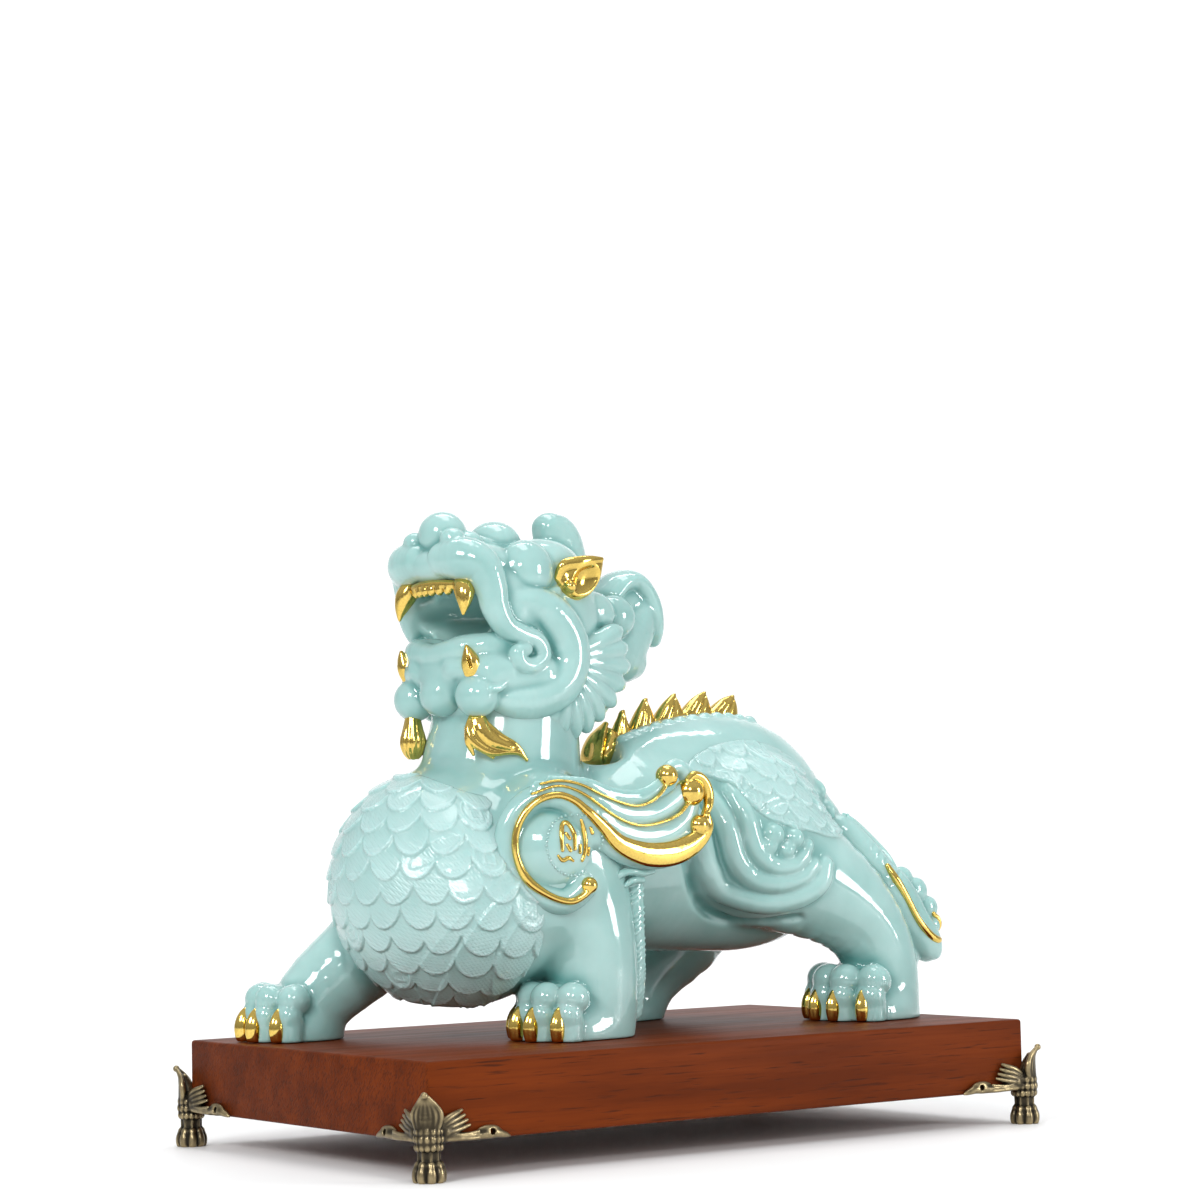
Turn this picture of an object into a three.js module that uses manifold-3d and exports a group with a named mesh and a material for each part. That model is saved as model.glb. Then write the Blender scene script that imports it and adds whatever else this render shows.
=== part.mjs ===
// A striding pixiu cast in one piece, standing on a wooden slab with four cast corner feet.
// Units are millimetres, +Z is up, the head looks towards -X and the figure's left side faces -Y.
// The origin is on the table, under the middle of the slab.
import * as THREE from "three";
import { mergeVertices } from "three/addons/utils/BufferGeometryUtils.js";
import Module from "manifold-3d";

const wasm = await Module();
wasm.setup();

// Slab
const SLAB_LENGTH = 360;
const SLAB_WIDTH = 225;
const SLAB_THICKNESS = 36;
const SLAB_EASE = 1.6;

// Corner feet
const FOOT_STAND_HEIGHT = 17;
const FOOT_PROUD = 4.2;
const FOOT_LEAF_RISE = 23.5;
const FOOT_LEAF_LEAN = 4.6;
const FOOT_LEAF_WIDTH = 14;
const FOOT_FLUTES = 3;
const FOOT_ARM_LENGTH = 42;
const FOOT_ARM_HEIGHT = 6.4;
const FOOT_SIDE_LEAF_LENGTH = 20;
const FOOT_FLUTE_DEPTH = 0.12;
const FOOT_TOE_DEPTH = 0.13;
const FOOT_SCREW_HOLE = 3;
const FOOT_PAW_RADIUS = 7.6;
const FOOT_PAW_HEIGHT = 9.5;
const FOOT_PAW_LOBES = 5;
const FOOT_WAIST_RADIUS = 5.2;
const FOOT_COLLAR_RADIUS = 6.4;
const SEAT_GAP = 0.3;

// Figure, whose anatomy below is in shares of its height: 264 shares from the soles to the horn
const FIGURE_HEIGHT = 264;
const FIGURE_SHARES = 264;
const SHARE = FIGURE_HEIGHT / FIGURE_SHARES;
const SPINE_Y = 6;
const HEAD_AT = [-68, 6, 190];
const HEAD_TURN = 8;
const SPINE_FINS = 6;
const CLAWS_PER_PAW = 4;
const PAW_SIDES = 12;
const TOE_DEPTH = 0.16;
const MANE_LOBES = 9;
const MANE_REACH = 46;
const MANE_SCALLOP = 0.06;
const CHEST_AT = [-95, 6, 77];
const CHEST_RADII = [58, 55, 59];
const CHEST_SCALE_ROWS = 7;
const CHEST_SCALES_AROUND = 12;
const CHEST_SCALE_LIFT = 1.8;
const CHEST_SCALE_DIP = 2.6;

const SLAB_TOP = FOOT_STAND_HEIGHT + SLAB_THICKNESS;
const SIDES = [-1, 1];
const MERGE_WITHIN = 1e-4;

// Solids

// The closed surface of a geometry as a solid that can be joined and cut.
function solid(geometry) {
  const bare = geometry.clone();
  bare.deleteAttribute("normal");
  bare.deleteAttribute("uv");
  const merged = mergeVertices(bare, MERGE_WITHIN);
  const mesh = new wasm.Mesh({
    numProp: 3,
    vertProperties: new Float32Array(merged.attributes.position.array),
    triVerts: new Uint32Array(merged.index.array),
  });
  return new wasm.Manifold(mesh);
}

function joined(geometries) {
  return geometries.map(solid).reduce((whole, next) => whole.add(next));
}

// The surface of a joined solid as a geometry with flat faces.
function surface(manifold) {
  const { vertProperties, triVerts } = manifold.getMesh();
  const geometry = new THREE.BufferGeometry();
  geometry.setAttribute("position", new THREE.BufferAttribute(new Float32Array(vertProperties), 3));
  geometry.setIndex(new THREE.BufferAttribute(new Uint32Array(triVerts), 1));
  geometry.computeVertexNormals();
  return geometry;
}

function named(name, geometry, finish) {
  const mesh = new THREE.Mesh(geometry, new THREE.MeshStandardMaterial(finish));
  mesh.name = name;
  return mesh;
}

// Basic forms, all in the units of the caller

// An ellipsoid round a point, turned by angles in degrees about X, Y and Z.
function ball([x, y, z], [rx, ry, rz], around, rings, [tx, ty, tz] = [0, 0, 0]) {
  const geometry = new THREE.SphereGeometry(1, around, rings);
  geometry.rotateX(Math.PI / 2);
  geometry.scale(rx, ry, rz);
  geometry.rotateX(THREE.MathUtils.degToRad(tx));
  geometry.rotateY(THREE.MathUtils.degToRad(ty));
  geometry.rotateZ(THREE.MathUtils.degToRad(tz));
  return geometry.translate(x, y, z);
}

// A limb along a smooth curve through stations [x, y, z, radius across, radius sideways].
function limb(stations, sides, steps) {
  const curve = new THREE.CatmullRomCurve3(stations.map(([x, y, z]) => new THREE.Vector3(x, y, z)));
  const geometry = new THREE.CylinderGeometry(1, 1, 1, sides, steps);
  const place = geometry.attributes.position;
  const side = new THREE.Vector3();
  const across = new THREE.Vector3();
  const lateral = new THREE.Vector3(0, 1, 0);
  for (let i = 0; i < place.count; i += 1) {
    const along = THREE.MathUtils.clamp(0.5 - place.getY(i), 0, 1);
    const centre = curve.getPoint(along);
    const forward = curve.getTangent(along);
    across.crossVectors(lateral, forward).normalize();
    side.crossVectors(forward, across).normalize();
    const [wide, deep] = sectionAt(stations, along);
    centre.addScaledVector(across, place.getX(i) * wide);
    centre.addScaledVector(side, place.getZ(i) * deep);
    place.setXYZ(i, centre.x, centre.y, centre.z);
  }
  return geometry;
}

// The two radii of a limb part way along it, eased between its stations.
function sectionAt(stations, along) {
  const reach = along * (stations.length - 1);
  const first = Math.min(Math.floor(reach), stations.length - 2);
  const ease = THREE.MathUtils.smoothstep(reach - first, 0, 1);
  const radii = (station) => [station[3], station[4] ?? station[3]];
  const [from, to] = [radii(stations[first]), radii(stations[first + 1])];
  return from.map((radius, k) => THREE.MathUtils.lerp(radius, to[k], ease));
}

// A mirrored form with its faces turned back out.
function facingOut(geometry) {
  const order = geometry.index.array;
  const turned = Uint32Array.from(order, (_, i) => order[i - (i % 3) + 2 - (i % 3)]);
  return geometry.setIndex(new THREE.BufferAttribute(turned, 1));
}

// The same form on the other side of the plane between two axes.
function swappedAcrossDiagonal(geometry) {
  const other = geometry.index ? geometry.clone() : mergeVertices(geometry);
  const place = other.attributes.position;
  for (let i = 0; i < place.count; i += 1) {
    place.setXYZ(i, place.getY(i), place.getX(i), place.getZ(i));
  }
  return facingOut(other);
}

// Figure: a point in the head's own frame, forward, to one side and up from the middle of the skull

const HEAD_YAW = THREE.MathUtils.degToRad(HEAD_TURN);

function inHead(forward, aside, up) {
  const [x, y, z] = HEAD_AT;
  return [
    x - forward * Math.cos(HEAD_YAW) - aside * Math.sin(HEAD_YAW),
    y - forward * Math.sin(HEAD_YAW) + aside * Math.cos(HEAD_YAW),
    z + up,
  ];
}

function headLimb(stations, sides, steps) {
  return limb(stations.map(([f, a, u, ...radii]) => [...inHead(f, a, u), ...radii]), sides, steps);
}

function torso() {
  const masses = [
    chest(),
    limb([[-70, 6, 90, 48, 50], [-20, 6, 92, 50, 50], [30, 6, 96, 56, 49], [76, 6, 104, 57, 47],
      [112, 6, 102, 42, 38], [130, 6, 100, 18, 18]], 10, 6),
    limb([[-62, 6, 92, 46, 44], [-60, 6, 128, 43, 37], [-62, 6, 184, 42, 34]], 9, 2),
  ];
  for (const side of SIDES) {
    masses.push(ball([-58, SPINE_Y + side * 40, 88], [38, 28, 42], 8, 5));
    masses.push(ball([72, SPINE_Y + side * 36, 96], [42, 28, 43], 9, 5));
  }
  return masses;
}

// One paw on the slab, rounded into toes at its front, with claws along a heading in degrees.
function paw([x, y], heading, spread, length) {
  const turn = THREE.MathUtils.degToRad(heading);
  const halfWidth = spread * 0.68;
  const pad = new THREE.SphereGeometry(1, PAW_SIDES, 4).rotateX(Math.PI / 2);
  const place = pad.attributes.position;
  for (let i = 0; i < place.count; i += 1) {
    const front = Math.max(0, place.getX(i));
    const aside = place.getY(i);
    const toe = 1 + front * TOE_DEPTH * Math.cos((CLAWS_PER_PAW - 1) * Math.PI * (aside + 1 / 3));
    place.setXYZ(i, place.getX(i) * toe * length * 0.5, aside * halfWidth, place.getZ(i) * toe * 24);
  }
  const forms = [pad.rotateZ(turn).translate(x, y, 2)];
  for (let claw = 0; claw < CLAWS_PER_PAW; claw += 1) {
    const aside = (claw / (CLAWS_PER_PAW - 1) - 0.5) * spread;
    const ahead = length * 0.5 * Math.sqrt(1 - (aside / halfWidth) ** 2);
    const at = (further, up, radius) => [
      x + (ahead + further) * Math.cos(turn) - aside * Math.sin(turn),
      y + (ahead + further) * Math.sin(turn) + aside * Math.cos(turn),
      up, radius,
    ];
    forms.push(limb([at(-6, 16, 2), at(-1, 8, 3.8), at(-2, -3, 3.4)], 3, 2));
  }
  return forms;
}

function legs() {
  return [
    limb([[-50, -40, 84, 30, 22], [-42, -43, 48, 22, 21], [-42, -44, 20, 20, 20], [-43, -44, -3, 20, 19]], 7, 3),
    ...paw([-58, -43], 180, 36, 48),
    limb([[-84, 42, 78, 30, 22], [-108, 52, 46, 24, 21], [-136, 62, 20, 20, 19], [-142, 65, -3, 19, 18]], 7, 3),
    ...paw([-148, 67], 176, 36, 47),
    limb([[82, -36, 84, 36, 24], [124, -40, 60, 25, 22], [143, -43, 34, 20, 20], [144, -44, -3, 21, 20]], 7, 3),
    ...paw([131, -43], 182, 40, 52),
    limb([[80, 44, 88, 34, 24], [90, 50, 52, 26, 21], [62, 54, 22, 19, 18], [50, 56, -3, 19, 18]], 7, 3),
    ...paw([36, 56], 180, 36, 46),
  ];
}

// Gilded fins along the back, each leaning to the tail.
function spineFins() {
  const ridge = new THREE.CatmullRomCurve3([
    new THREE.Vector3(-3, SPINE_Y, 134),
    new THREE.Vector3(12, SPINE_Y, 146),
    new THREE.Vector3(42, SPINE_Y, 156),
    new THREE.Vector3(76, SPINE_Y, 161),
  ]);
  const fins = [];
  for (let fin = 0; fin < SPINE_FINS; fin += 1) {
    const along = fin / (SPINE_FINS - 1);
    const foot = ridge.getPoint(along);
    const rise = THREE.MathUtils.lerp(20, 11, along);
    const lean = THREE.MathUtils.lerp(5, 13, along);
    fins.push(limb([
      [foot.x - 2, foot.y, foot.z - 8, 10, 5],
      [foot.x + lean * 0.4, foot.y, foot.z + rise * 0.4, 7.5, 4],
      [foot.x + lean, foot.y, foot.z + rise, 0.8, 0.8],
    ], 4, 2));
  }
  return fins;
}

// The ring of a shoulder boss, its stem and the strands of a wing, on one side.
function wing(side) {
  const skin = (x) => SPINE_Y + side * (x > -58 ? 75 : 75 + 0.42 * (x + 58));
  const on = (x, z, radius, sink = 0) => [x, skin(x) - side * sink, z, radius, radius];
  return [
    ball([-66, SPINE_Y + side * 50, 92], [31, 24, 27], 10, 5),
    limb([on(-57, 74, 2.6), on(-72, 67, 2.8, 1), on(-91, 82, 3), on(-92, 101, 3), on(-76, 118, 2.8),
      on(-57, 111, 3), on(-36, 92, 5, 2), on(-16, 84, 6, 4), on(4, 88, 5, 5), on(13, 98, 3.6, 5)], 4, 10),
    limb([on(-84, 119, 5, 8), on(-62, 121, 6, 8), on(-42, 107, 10, 12), on(-20, 99, 12, 14),
      on(0, 108, 9, 14), on(7, 118, 5, 13)], 4, 4),
    limb([on(-80, 123, 4, 12), on(-56, 122, 6, 12), on(-34, 113, 7, 16), on(-14, 119, 6, 18),
      on(-9, 127, 3, 18)], 4, 4),
    ball(on(-57, 76, 0), [4.6, 4.6, 4.6], 5, 3),
    ball(on(10, 103, 0, 3), [5.4, 5.4, 5.4], 5, 3),
    ball(on(8, 119, 0, 6), [6.6, 6, 6.6], 5, 3),
    ball(on(-8, 129, 0, 12), [5.6, 5.2, 5.6], 5, 3),
  ];
}

// Three raised curls that sweep down the haunch and hook up behind it.
function haunchCurls(side) {
  const on = (x, z, out) => [x, SPINE_Y + side * (62 + out), z];
  return [
    limb([[...on(18, 106, -10), 2], [...on(28, 80, 0), 5], [...on(48, 61, 2), 6.5], [...on(74, 59, 2), 6.5],
      [...on(94, 74, -4), 3]], 4, 6),
    limb([[...on(26, 114, -2), 2], [...on(38, 88, 4), 5], [...on(58, 70, 5), 6], [...on(84, 74, 0), 3.5]], 4, 4),
    limb([[...on(38, 120, 2), 2], [...on(50, 93, 7), 5], [...on(64, 80, 7), 5.5], [...on(82, 86, 2), 3]], 4, 4),
    ball(on(64, 92, 2), [9, 6, 7], 5, 3),
  ];
}

// A tail that starts on the rump, sweeps down behind the left hind leg and ends in a coin plate.
function tail() {
  return [
    limb([[108, 2, 112, 20, 18], [130, -14, 100, 16, 14], [146, -28, 80, 15, 12], [158, -38, 57, 14, 10],
      [168, -42, 36, 9, 8]], 6, 4),
    ball([163, -42, 50], [8, 12, 27], 6, 4, [0, -32, 0]),
    ball([171, -40, 50], [6, 9, 15], 5, 3, [0, -32, 0]),
    ball([141, -16, 97], [8, 12, 9], 5, 3, [0, 40, 0]),
  ];
}

// The skull, muzzle, jaw and cheeks with the open mouth cut out between them.
function head() {
  const mass = [
    ball(inHead(-22, 0, 18), [50, 38, 38], 12, 7, [0, 0, HEAD_TURN]),
    ball(inHead(10, 0, 44), [34, 32, 15], 9, 4, [0, 0, HEAD_TURN]),
    ball(inHead(-30, 0, 44), [30, 28, 18], 7, 4, [0, 0, HEAD_TURN]),
    ball(inHead(10, 0, -13), [32, 31, 17], 9, 4, [0, 0, HEAD_TURN]),
  ];
  for (const side of SIDES) {
    mass.push(
      ball(inHead(-4, side * 24, 32), [18, 13, 13], 6, 4),
      headLimb([[26, side * 28, 42, 8, 8], [17, side * 32, 28, 7, 8], [18, side * 31, 14, 7, 7.5],
        [8, side * 32, 4, 7, 8], [-6, side * 34, 0, 6, 6]], 4, 4),
    );
  }
  const mouth = ball(inHead(26, 0, 16), [33, 22, 15.5], 10, 6, [0, 0, HEAD_TURN]);
  return joined(mass).subtract(solid(mouth));
}

function face() {
  const forms = [
    ball(inHead(28, 0, 61), [13, 13, 12.5], 8, 5),
    ball(inHead(31, 0, -22), [10, 10, 9.5], 5, 4),
    headLimb([[-38, 0, 50, 13, 11], [-42, 0, 60, 12, 9], [-41, 0, 70, 9, 7], [-36, 0, 75, 3, 3]], 6, 3),
    headLimb([[33, -18, 33, 3, 3.4], [36, 0, 32.5, 3, 3.4], [33, 18, 33, 3, 3.4]], 4, 2),
  ];
  for (const side of SIDES) {
    forms.push(
      ball(inHead(32, side * 21, 45), [15, 14, 12], 5, 4),
      ball(inHead(-16, side * 16, 56), [15, 11, 10], 5, 4),
      ball(inHead(-6, side * 23, 44), [11, 10, 10.5], 5, 4),
      headLimb([[6, side * 36, -24, 9], [-14, side * 37, -22, 9], [-24, side * 36, -4, 10],
        [-20, side * 35, 16, 10], [-8, side * 33, 27, 8]], 4, 5),
      headLimb([[-22, side * 34, 32, 7, 5], [-34, side * 38, 38, 8, 4], [-44, side * 42, 46, 2, 1.2]], 4, 2),
      headLimb([[35, side * 20, 35, 4.8], [37, side * 20, 28, 4.4], [41, side * 20, 18, 0.8]], 4, 1),
      headLimb([[30, side * 20, -8, 3], [33, side * 21, 1, 0.8]], 4, 1),
      ball(inHead(27, side * 19, -21), [10, 9, 10], 5, 4),
      ball(inHead(26, side * 17, -4), [9, 10, 6], 5, 3),
    );
  }
  return forms;
}

// Two gilded beard locks that hang from the chin: one straight, one swept back along the neck.
function beard() {
  return [
    headLimb([[35, 16, -27, 3.4], [37, 16, -40, 7], [36, 16, -51, 1.6]], 5, 2),
    headLimb([[25, -20, -27, 4], [28, -21, -40, 7, 6], [16, -23, -47, 6, 5], [-3, -24, -53, 1, 1]], 4, 3),
  ];
}

// A fan of flat lobes behind each cheek, and the curl that stands up at the nape.
function mane() {
  const forms = [
    headLimb([[-40, 0, 18, 26, 26], [-72, 0, 16, 20, 20], [-92, 0, 6, 16, 14], [-98, 0, -8, 6, 6]], 6, 3),
    headLimb([[-88, 0, 2, 10, 10], [-106, 0, 18, 14, 12], [-102, 0, 38, 12, 11], [-92, 0, 46, 4, 4]], 6, 3),
    headLimb([[-96, 0, 30, 10, 10], [-114, 0, 24, 10, 9], [-122, 0, 14, 3, 4]], 5, 2),
  ];
  for (const side of SIDES) {
    const fan = new THREE.SphereGeometry(1, 2 * MANE_LOBES, 4);
    const place = fan.attributes.position;
    for (let i = 0; i < place.count; i += 1) {
      const [back, up] = [place.getX(i), place.getZ(i)];
      const scallop = 1 + MANE_SCALLOP * Math.cos(MANE_LOBES * Math.atan2(up, back));
      place.setXYZ(i, ...inHead(
        -22 - back * scallop * MANE_REACH, side * (27 + place.getY(i) * 8), up * scallop * MANE_REACH,
      ));
    }
    forms.push(side > 0 ? fan : facingOut(fan));
  }
  return forms;
}

// The chest: a ball with rows of scales, each row lifted along a zigzag lower edge.
function chest() {
  const globe = new THREE.SphereGeometry(1, 2 * CHEST_SCALES_AROUND, 2 * CHEST_SCALE_ROWS);
  const place = globe.rotateX(Math.PI / 2).attributes.position;
  const around = 2 * CHEST_SCALES_AROUND + 1;
  for (let i = 0; i < place.count; i += 1) {
    const ring = Math.floor(i / around);
    const edge = ring % 2 === 1 && ring < 2 * CHEST_SCALE_ROWS - 1;
    const tip = ((ring - 1) / 2 + (i % around)) % 2 === 0;
    const out = new THREE.Vector3().fromBufferAttribute(place, i);
    const at = out.clone().multiply(new THREE.Vector3(...CHEST_RADII));
    if (edge) {
      at.addScaledVector(out, CHEST_SCALE_LIFT);
      at.z += (tip ? -1 : 1) * CHEST_SCALE_DIP;
    }
    place.setXYZ(i, ...at.add(new THREE.Vector3(...CHEST_AT)));
  }
  return globe;
}

function pixiu() {
  const forms = [
    ...torso(), ...legs(), ...spineFins(), ...tail(), ...face(), ...beard(), ...mane(),
  ];
  for (const side of SIDES) {
    forms.push(...wing(side), ...haunchCurls(side));
  }
  const whole = joined(forms).add(head());
  const room = 2 * SLAB_LENGTH;
  const below = new THREE.BoxGeometry(room, room, room).translate(0, 0, -room / 2);
  const standing = whole.subtract(solid(below));
  const geometry = surface(standing);
  geometry.scale(SHARE, SHARE, SHARE);
  geometry.translate(0, 0, SLAB_TOP + SEAT_GAP);
  return geometry;
}

// Slab with eased edges.
function slab() {
  const inset = 2 * SLAB_EASE;
  const outline = new THREE.Shape();
  const [x, y] = [SLAB_LENGTH / 2 - SLAB_EASE, SLAB_WIDTH / 2 - SLAB_EASE];
  outline.moveTo(-x, -y);
  outline.lineTo(x, -y);
  outline.lineTo(x, y);
  outline.lineTo(-x, y);
  const block = new THREE.ExtrudeGeometry(outline, {
    depth: SLAB_THICKNESS - inset,
    bevelThickness: SLAB_EASE,
    bevelSize: SLAB_EASE,
    bevelSegments: 2,
  });
  return surface(solid(block.translate(0, 0, FOOT_STAND_HEIGHT + SLAB_EASE)));
}

// Corner foot, drawn with the slab's corner on the Z axis and the slab towards +X and +Y

// A flat arm against the slab's face, from its outline in X and Z and the centre of its hole.
function plate(points, proud, hole) {
  const outline = new THREE.Shape();
  outline.setFromPoints(points.map(([x, z]) => new THREE.Vector2(x, z)));
  const round = new THREE.Path();
  round.absarc(...hole, FOOT_SCREW_HOLE / 2, 0, 2 * Math.PI, true);
  outline.holes.push(round);
  const flat = new THREE.ExtrudeGeometry(outline, {
    depth: proud, bevelEnabled: false, curveSegments: 3,
  });
  return flat.rotateX(Math.PI / 2).translate(0, 0, FOOT_STAND_HEIGHT);
}

function footArm() {
  const [reach, tall] = [FOOT_ARM_LENGTH, FOOT_ARM_HEIGHT];
  return plate([
    [-2, -1], [reach * 0.93, -0.4], [reach, 0.8], [reach * 0.74, tall],
    [reach * 0.45, tall * 0.55], [-2, tall * 0.4],
  ], FOOT_PROUD * 0.7, [reach * 0.76, tall * 0.46]);
}

function footSideLeaf() {
  const [reach, base] = [FOOT_SIDE_LEAF_LENGTH, FOOT_STAND_HEIGHT];
  return limb([
    [-1, 0, base + 4.5, 3.4, FOOT_PROUD * 0.7], [reach * 0.5, 0, base + 8.5, 2.8, FOOT_PROUD * 0.7],
    [reach, 0, base + 12.5, 1.2, FOOT_PROUD * 0.4],
  ], 4, 2);
}

// The fluted leaf that stands on the corner and leans outwards at its tip.
function footLeaf() {
  const [base, rise] = [FOOT_STAND_HEIGHT, FOOT_LEAF_RISE];
  const geometry = new THREE.CylinderGeometry(1, 1, 1, 4 * FOOT_FLUTES, 2);
  const place = geometry.attributes.position;
  for (let i = 0; i < place.count; i += 1) {
    const up = place.getY(i) + 0.5;
    const angle = Math.atan2(place.getZ(i), place.getX(i));
    const reach = Math.hypot(place.getX(i), place.getZ(i));
    const flute = 1 + FOOT_FLUTE_DEPTH * Math.cos(2 * FOOT_FLUTES * angle);
    const swell = Math.sin(Math.PI * (0.2 + 0.78 * up)) ** 0.7;
    const across = Math.cos(angle) * reach * flute * swell * (FOOT_LEAF_WIDTH / 2);
    const out = Math.sin(angle) * reach * flute * swell * FOOT_PROUD + FOOT_LEAF_LEAN * up * up;
    place.setXYZ(i, (across - out) * Math.SQRT1_2, (-across - out) * Math.SQRT1_2, base + up * rise);
  }
  return geometry;
}

// The paw with its toes round the outward side, the waist over it and the collar under the slab.
function footPawAndWaist() {
  const levels = [
    [FOOT_PAW_RADIUS * 0.8, 0], [FOOT_PAW_RADIUS, FOOT_PAW_HEIGHT * 0.4],
    [FOOT_PAW_RADIUS * 0.8, FOOT_PAW_HEIGHT * 0.85], [FOOT_WAIST_RADIUS, FOOT_PAW_HEIGHT + 1.6],
    [FOOT_COLLAR_RADIUS, FOOT_STAND_HEIGHT + 1.6],
  ];
  const profile = [[0, 0], ...levels, [0, FOOT_STAND_HEIGHT + 1.6]].map(([r, z]) => new THREE.Vector2(r, z));
  const geometry = new THREE.LatheGeometry(profile, 2 * FOOT_PAW_LOBES).rotateX(Math.PI / 2);
  const place = geometry.attributes.position;
  for (let i = 0; i < place.count; i += 1) {
    const low = place.getZ(i) < FOOT_PAW_HEIGHT;
    const angle = Math.atan2(place.getY(i), place.getX(i));
    const toe = low ? 1 + FOOT_TOE_DEPTH * Math.cos(FOOT_PAW_LOBES * (angle - Math.PI / 4)) : 1;
    place.setXY(i, place.getX(i) * toe, place.getY(i) * toe);
  }
  return geometry;
}

function cornerFoot() {
  const arm = footArm();
  const sideLeaf = footSideLeaf();
  const forms = [
    footPawAndWaist(), footLeaf(), arm, swappedAcrossDiagonal(arm), sideLeaf, swappedAcrossDiagonal(sideLeaf),
  ];
  const room = 4 * FOOT_ARM_LENGTH;
  const seat = new THREE.BoxGeometry(room, room, room).translate(
    room / 2 - SEAT_GAP, room / 2 - SEAT_GAP, FOOT_STAND_HEIGHT + room / 2 - SEAT_GAP,
  );
  const below = new THREE.BoxGeometry(room, room, room).translate(0, 0, -room / 2);
  return surface(joined(forms).subtract(solid(seat)).subtract(solid(below)));
}

const FINISH_RESIN = { color: 0xa9d3cb, roughness: 0.12, metalness: 0 };
const FINISH_WOOD = { color: 0x6b2a14, roughness: 0.42, metalness: 0 };
const FINISH_BRASS = { color: 0x7a6a3c, roughness: 0.36, metalness: 1 };

const figure = new THREE.Group();
figure.add(named("pixiu", pixiu(), FINISH_RESIN));
figure.add(named("plinth", slab(), FINISH_WOOD));

const CORNERS = [
  ["foot_front_left", -1, -1, 0],
  ["foot_back_left", 1, -1, 90],
  ["foot_back_right", 1, 1, 180],
  ["foot_front_right", -1, 1, 270],
];
for (const [name, x, y, turn] of CORNERS) {
  const foot = named(name, cornerFoot(), FINISH_BRASS);
  foot.position.set((x * SLAB_LENGTH) / 2, (y * SLAB_WIDTH) / 2, 0);
  foot.rotation.z = THREE.MathUtils.degToRad(turn);
  figure.add(foot);
}

export default figure;
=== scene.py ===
"""A striding pixiu in pale green resin with gilded details, on a stained wooden slab with four cast feet.

Inside the classes lengths are millimetres. The figure's own heights are measured from the slab's top, and
every finished mesh is handed over in metres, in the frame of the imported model.
"""

import logging
import math
from collections.abc import Callable, Sequence
from dataclasses import dataclass, field
from enum import Enum

import bpy
import numpy as np
from mathutils import Matrix, Vector


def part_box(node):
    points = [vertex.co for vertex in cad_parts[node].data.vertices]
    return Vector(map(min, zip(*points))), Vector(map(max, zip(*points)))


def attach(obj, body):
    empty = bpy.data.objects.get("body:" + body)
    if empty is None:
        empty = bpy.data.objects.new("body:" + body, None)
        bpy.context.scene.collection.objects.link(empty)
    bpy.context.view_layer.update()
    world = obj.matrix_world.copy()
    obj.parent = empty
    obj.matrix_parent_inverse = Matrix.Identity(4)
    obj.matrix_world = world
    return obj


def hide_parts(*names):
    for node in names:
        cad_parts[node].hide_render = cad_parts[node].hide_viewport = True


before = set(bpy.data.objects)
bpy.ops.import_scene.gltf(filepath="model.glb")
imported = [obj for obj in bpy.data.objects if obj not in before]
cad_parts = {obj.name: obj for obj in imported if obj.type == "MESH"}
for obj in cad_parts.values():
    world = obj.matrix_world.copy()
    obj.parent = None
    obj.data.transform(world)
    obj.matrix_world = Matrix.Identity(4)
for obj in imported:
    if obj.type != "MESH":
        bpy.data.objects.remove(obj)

LOG = logging.getLogger("pixiu")
MM = 0.001
FIGURE = "pixiu"
# Empty clay starts at this distance from any skin, in mm.
OUTSIDE = 60.0
# When a net is evened, this share of each vertex's place stays.
STAYING = 0.4
# A skin that bends by this share of the reach is a full crease or ridge.
FULL_BEND = 0.22
# The plane that halves the figure, and the sign of y on its two sides.
MIDDLE_Y = 6.0
LEFT = -1
RIGHT = 1
SIDES = (LEFT, RIGHT)
# The head's own frame runs forward, to its left and up, so its left is positive.
HEAD_LEFT = 1
HEAD_RIGHT = -1
HEAD_SIDES = (HEAD_RIGHT, HEAD_LEFT)
HEAD_PLACE = (-68.0, 6.0, 190.0)
HEAD_YAW = math.radians(8.0)
FIGURE_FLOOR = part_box("pixiu")[0].z / MM
SLAB_LOW, SLAB_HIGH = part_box("plinth")

Point = tuple[float, float, float]
Socket = bpy.types.NodeSocket
Material = bpy.types.Material
Thing = bpy.types.Object
Place = Callable[[np.ndarray], np.ndarray]


class Slot(Enum):
    """The names of the four material slots."""

    JADE = "jade_resin"
    GILDING = "gilding"
    WOOD = "stained_wood"
    BRASS = "antique_brass"


def on_figure(points: np.ndarray) -> np.ndarray:
    """Moves points of the figure, in mm above the slab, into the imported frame, in metres."""
    return (points + np.array([0.0, 0.0, FIGURE_FLOOR])) * MM


def in_head(points: np.ndarray) -> np.ndarray:
    """Moves points given as forward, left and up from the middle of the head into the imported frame.

    Args:
        points: An (n, 3) array in mm.

    Returns:
        The same points in metres.
    """
    forward, left, up = points[:, 0], points[:, 1], points[:, 2]
    turned = np.stack(
        [
            HEAD_PLACE[0] - forward * math.cos(HEAD_YAW) + left * math.sin(HEAD_YAW),
            HEAD_PLACE[1] - forward * math.sin(HEAD_YAW) - left * math.cos(HEAD_YAW),
            HEAD_PLACE[2] + up,
        ],
        axis=1,
    )
    return on_figure(turned)


@dataclass(frozen=True)
class Ball:
    """An egg of clay with three radii, turned by degrees about x, y and z and blended into the rest."""

    centre: Point
    radii: Point
    blend: float = 3.0
    turn: Point = (0.0, 0.0, 0.0)


@dataclass(frozen=True)
class Limb:
    """A rolled length of clay through stations of x, y, z, radius in its plane and radius along y."""

    stations: Sequence[Sequence[float]]
    blend: float = 3.0
    steps: int = 4
    ceiling: float | None = None


Form = Ball | Limb


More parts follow.
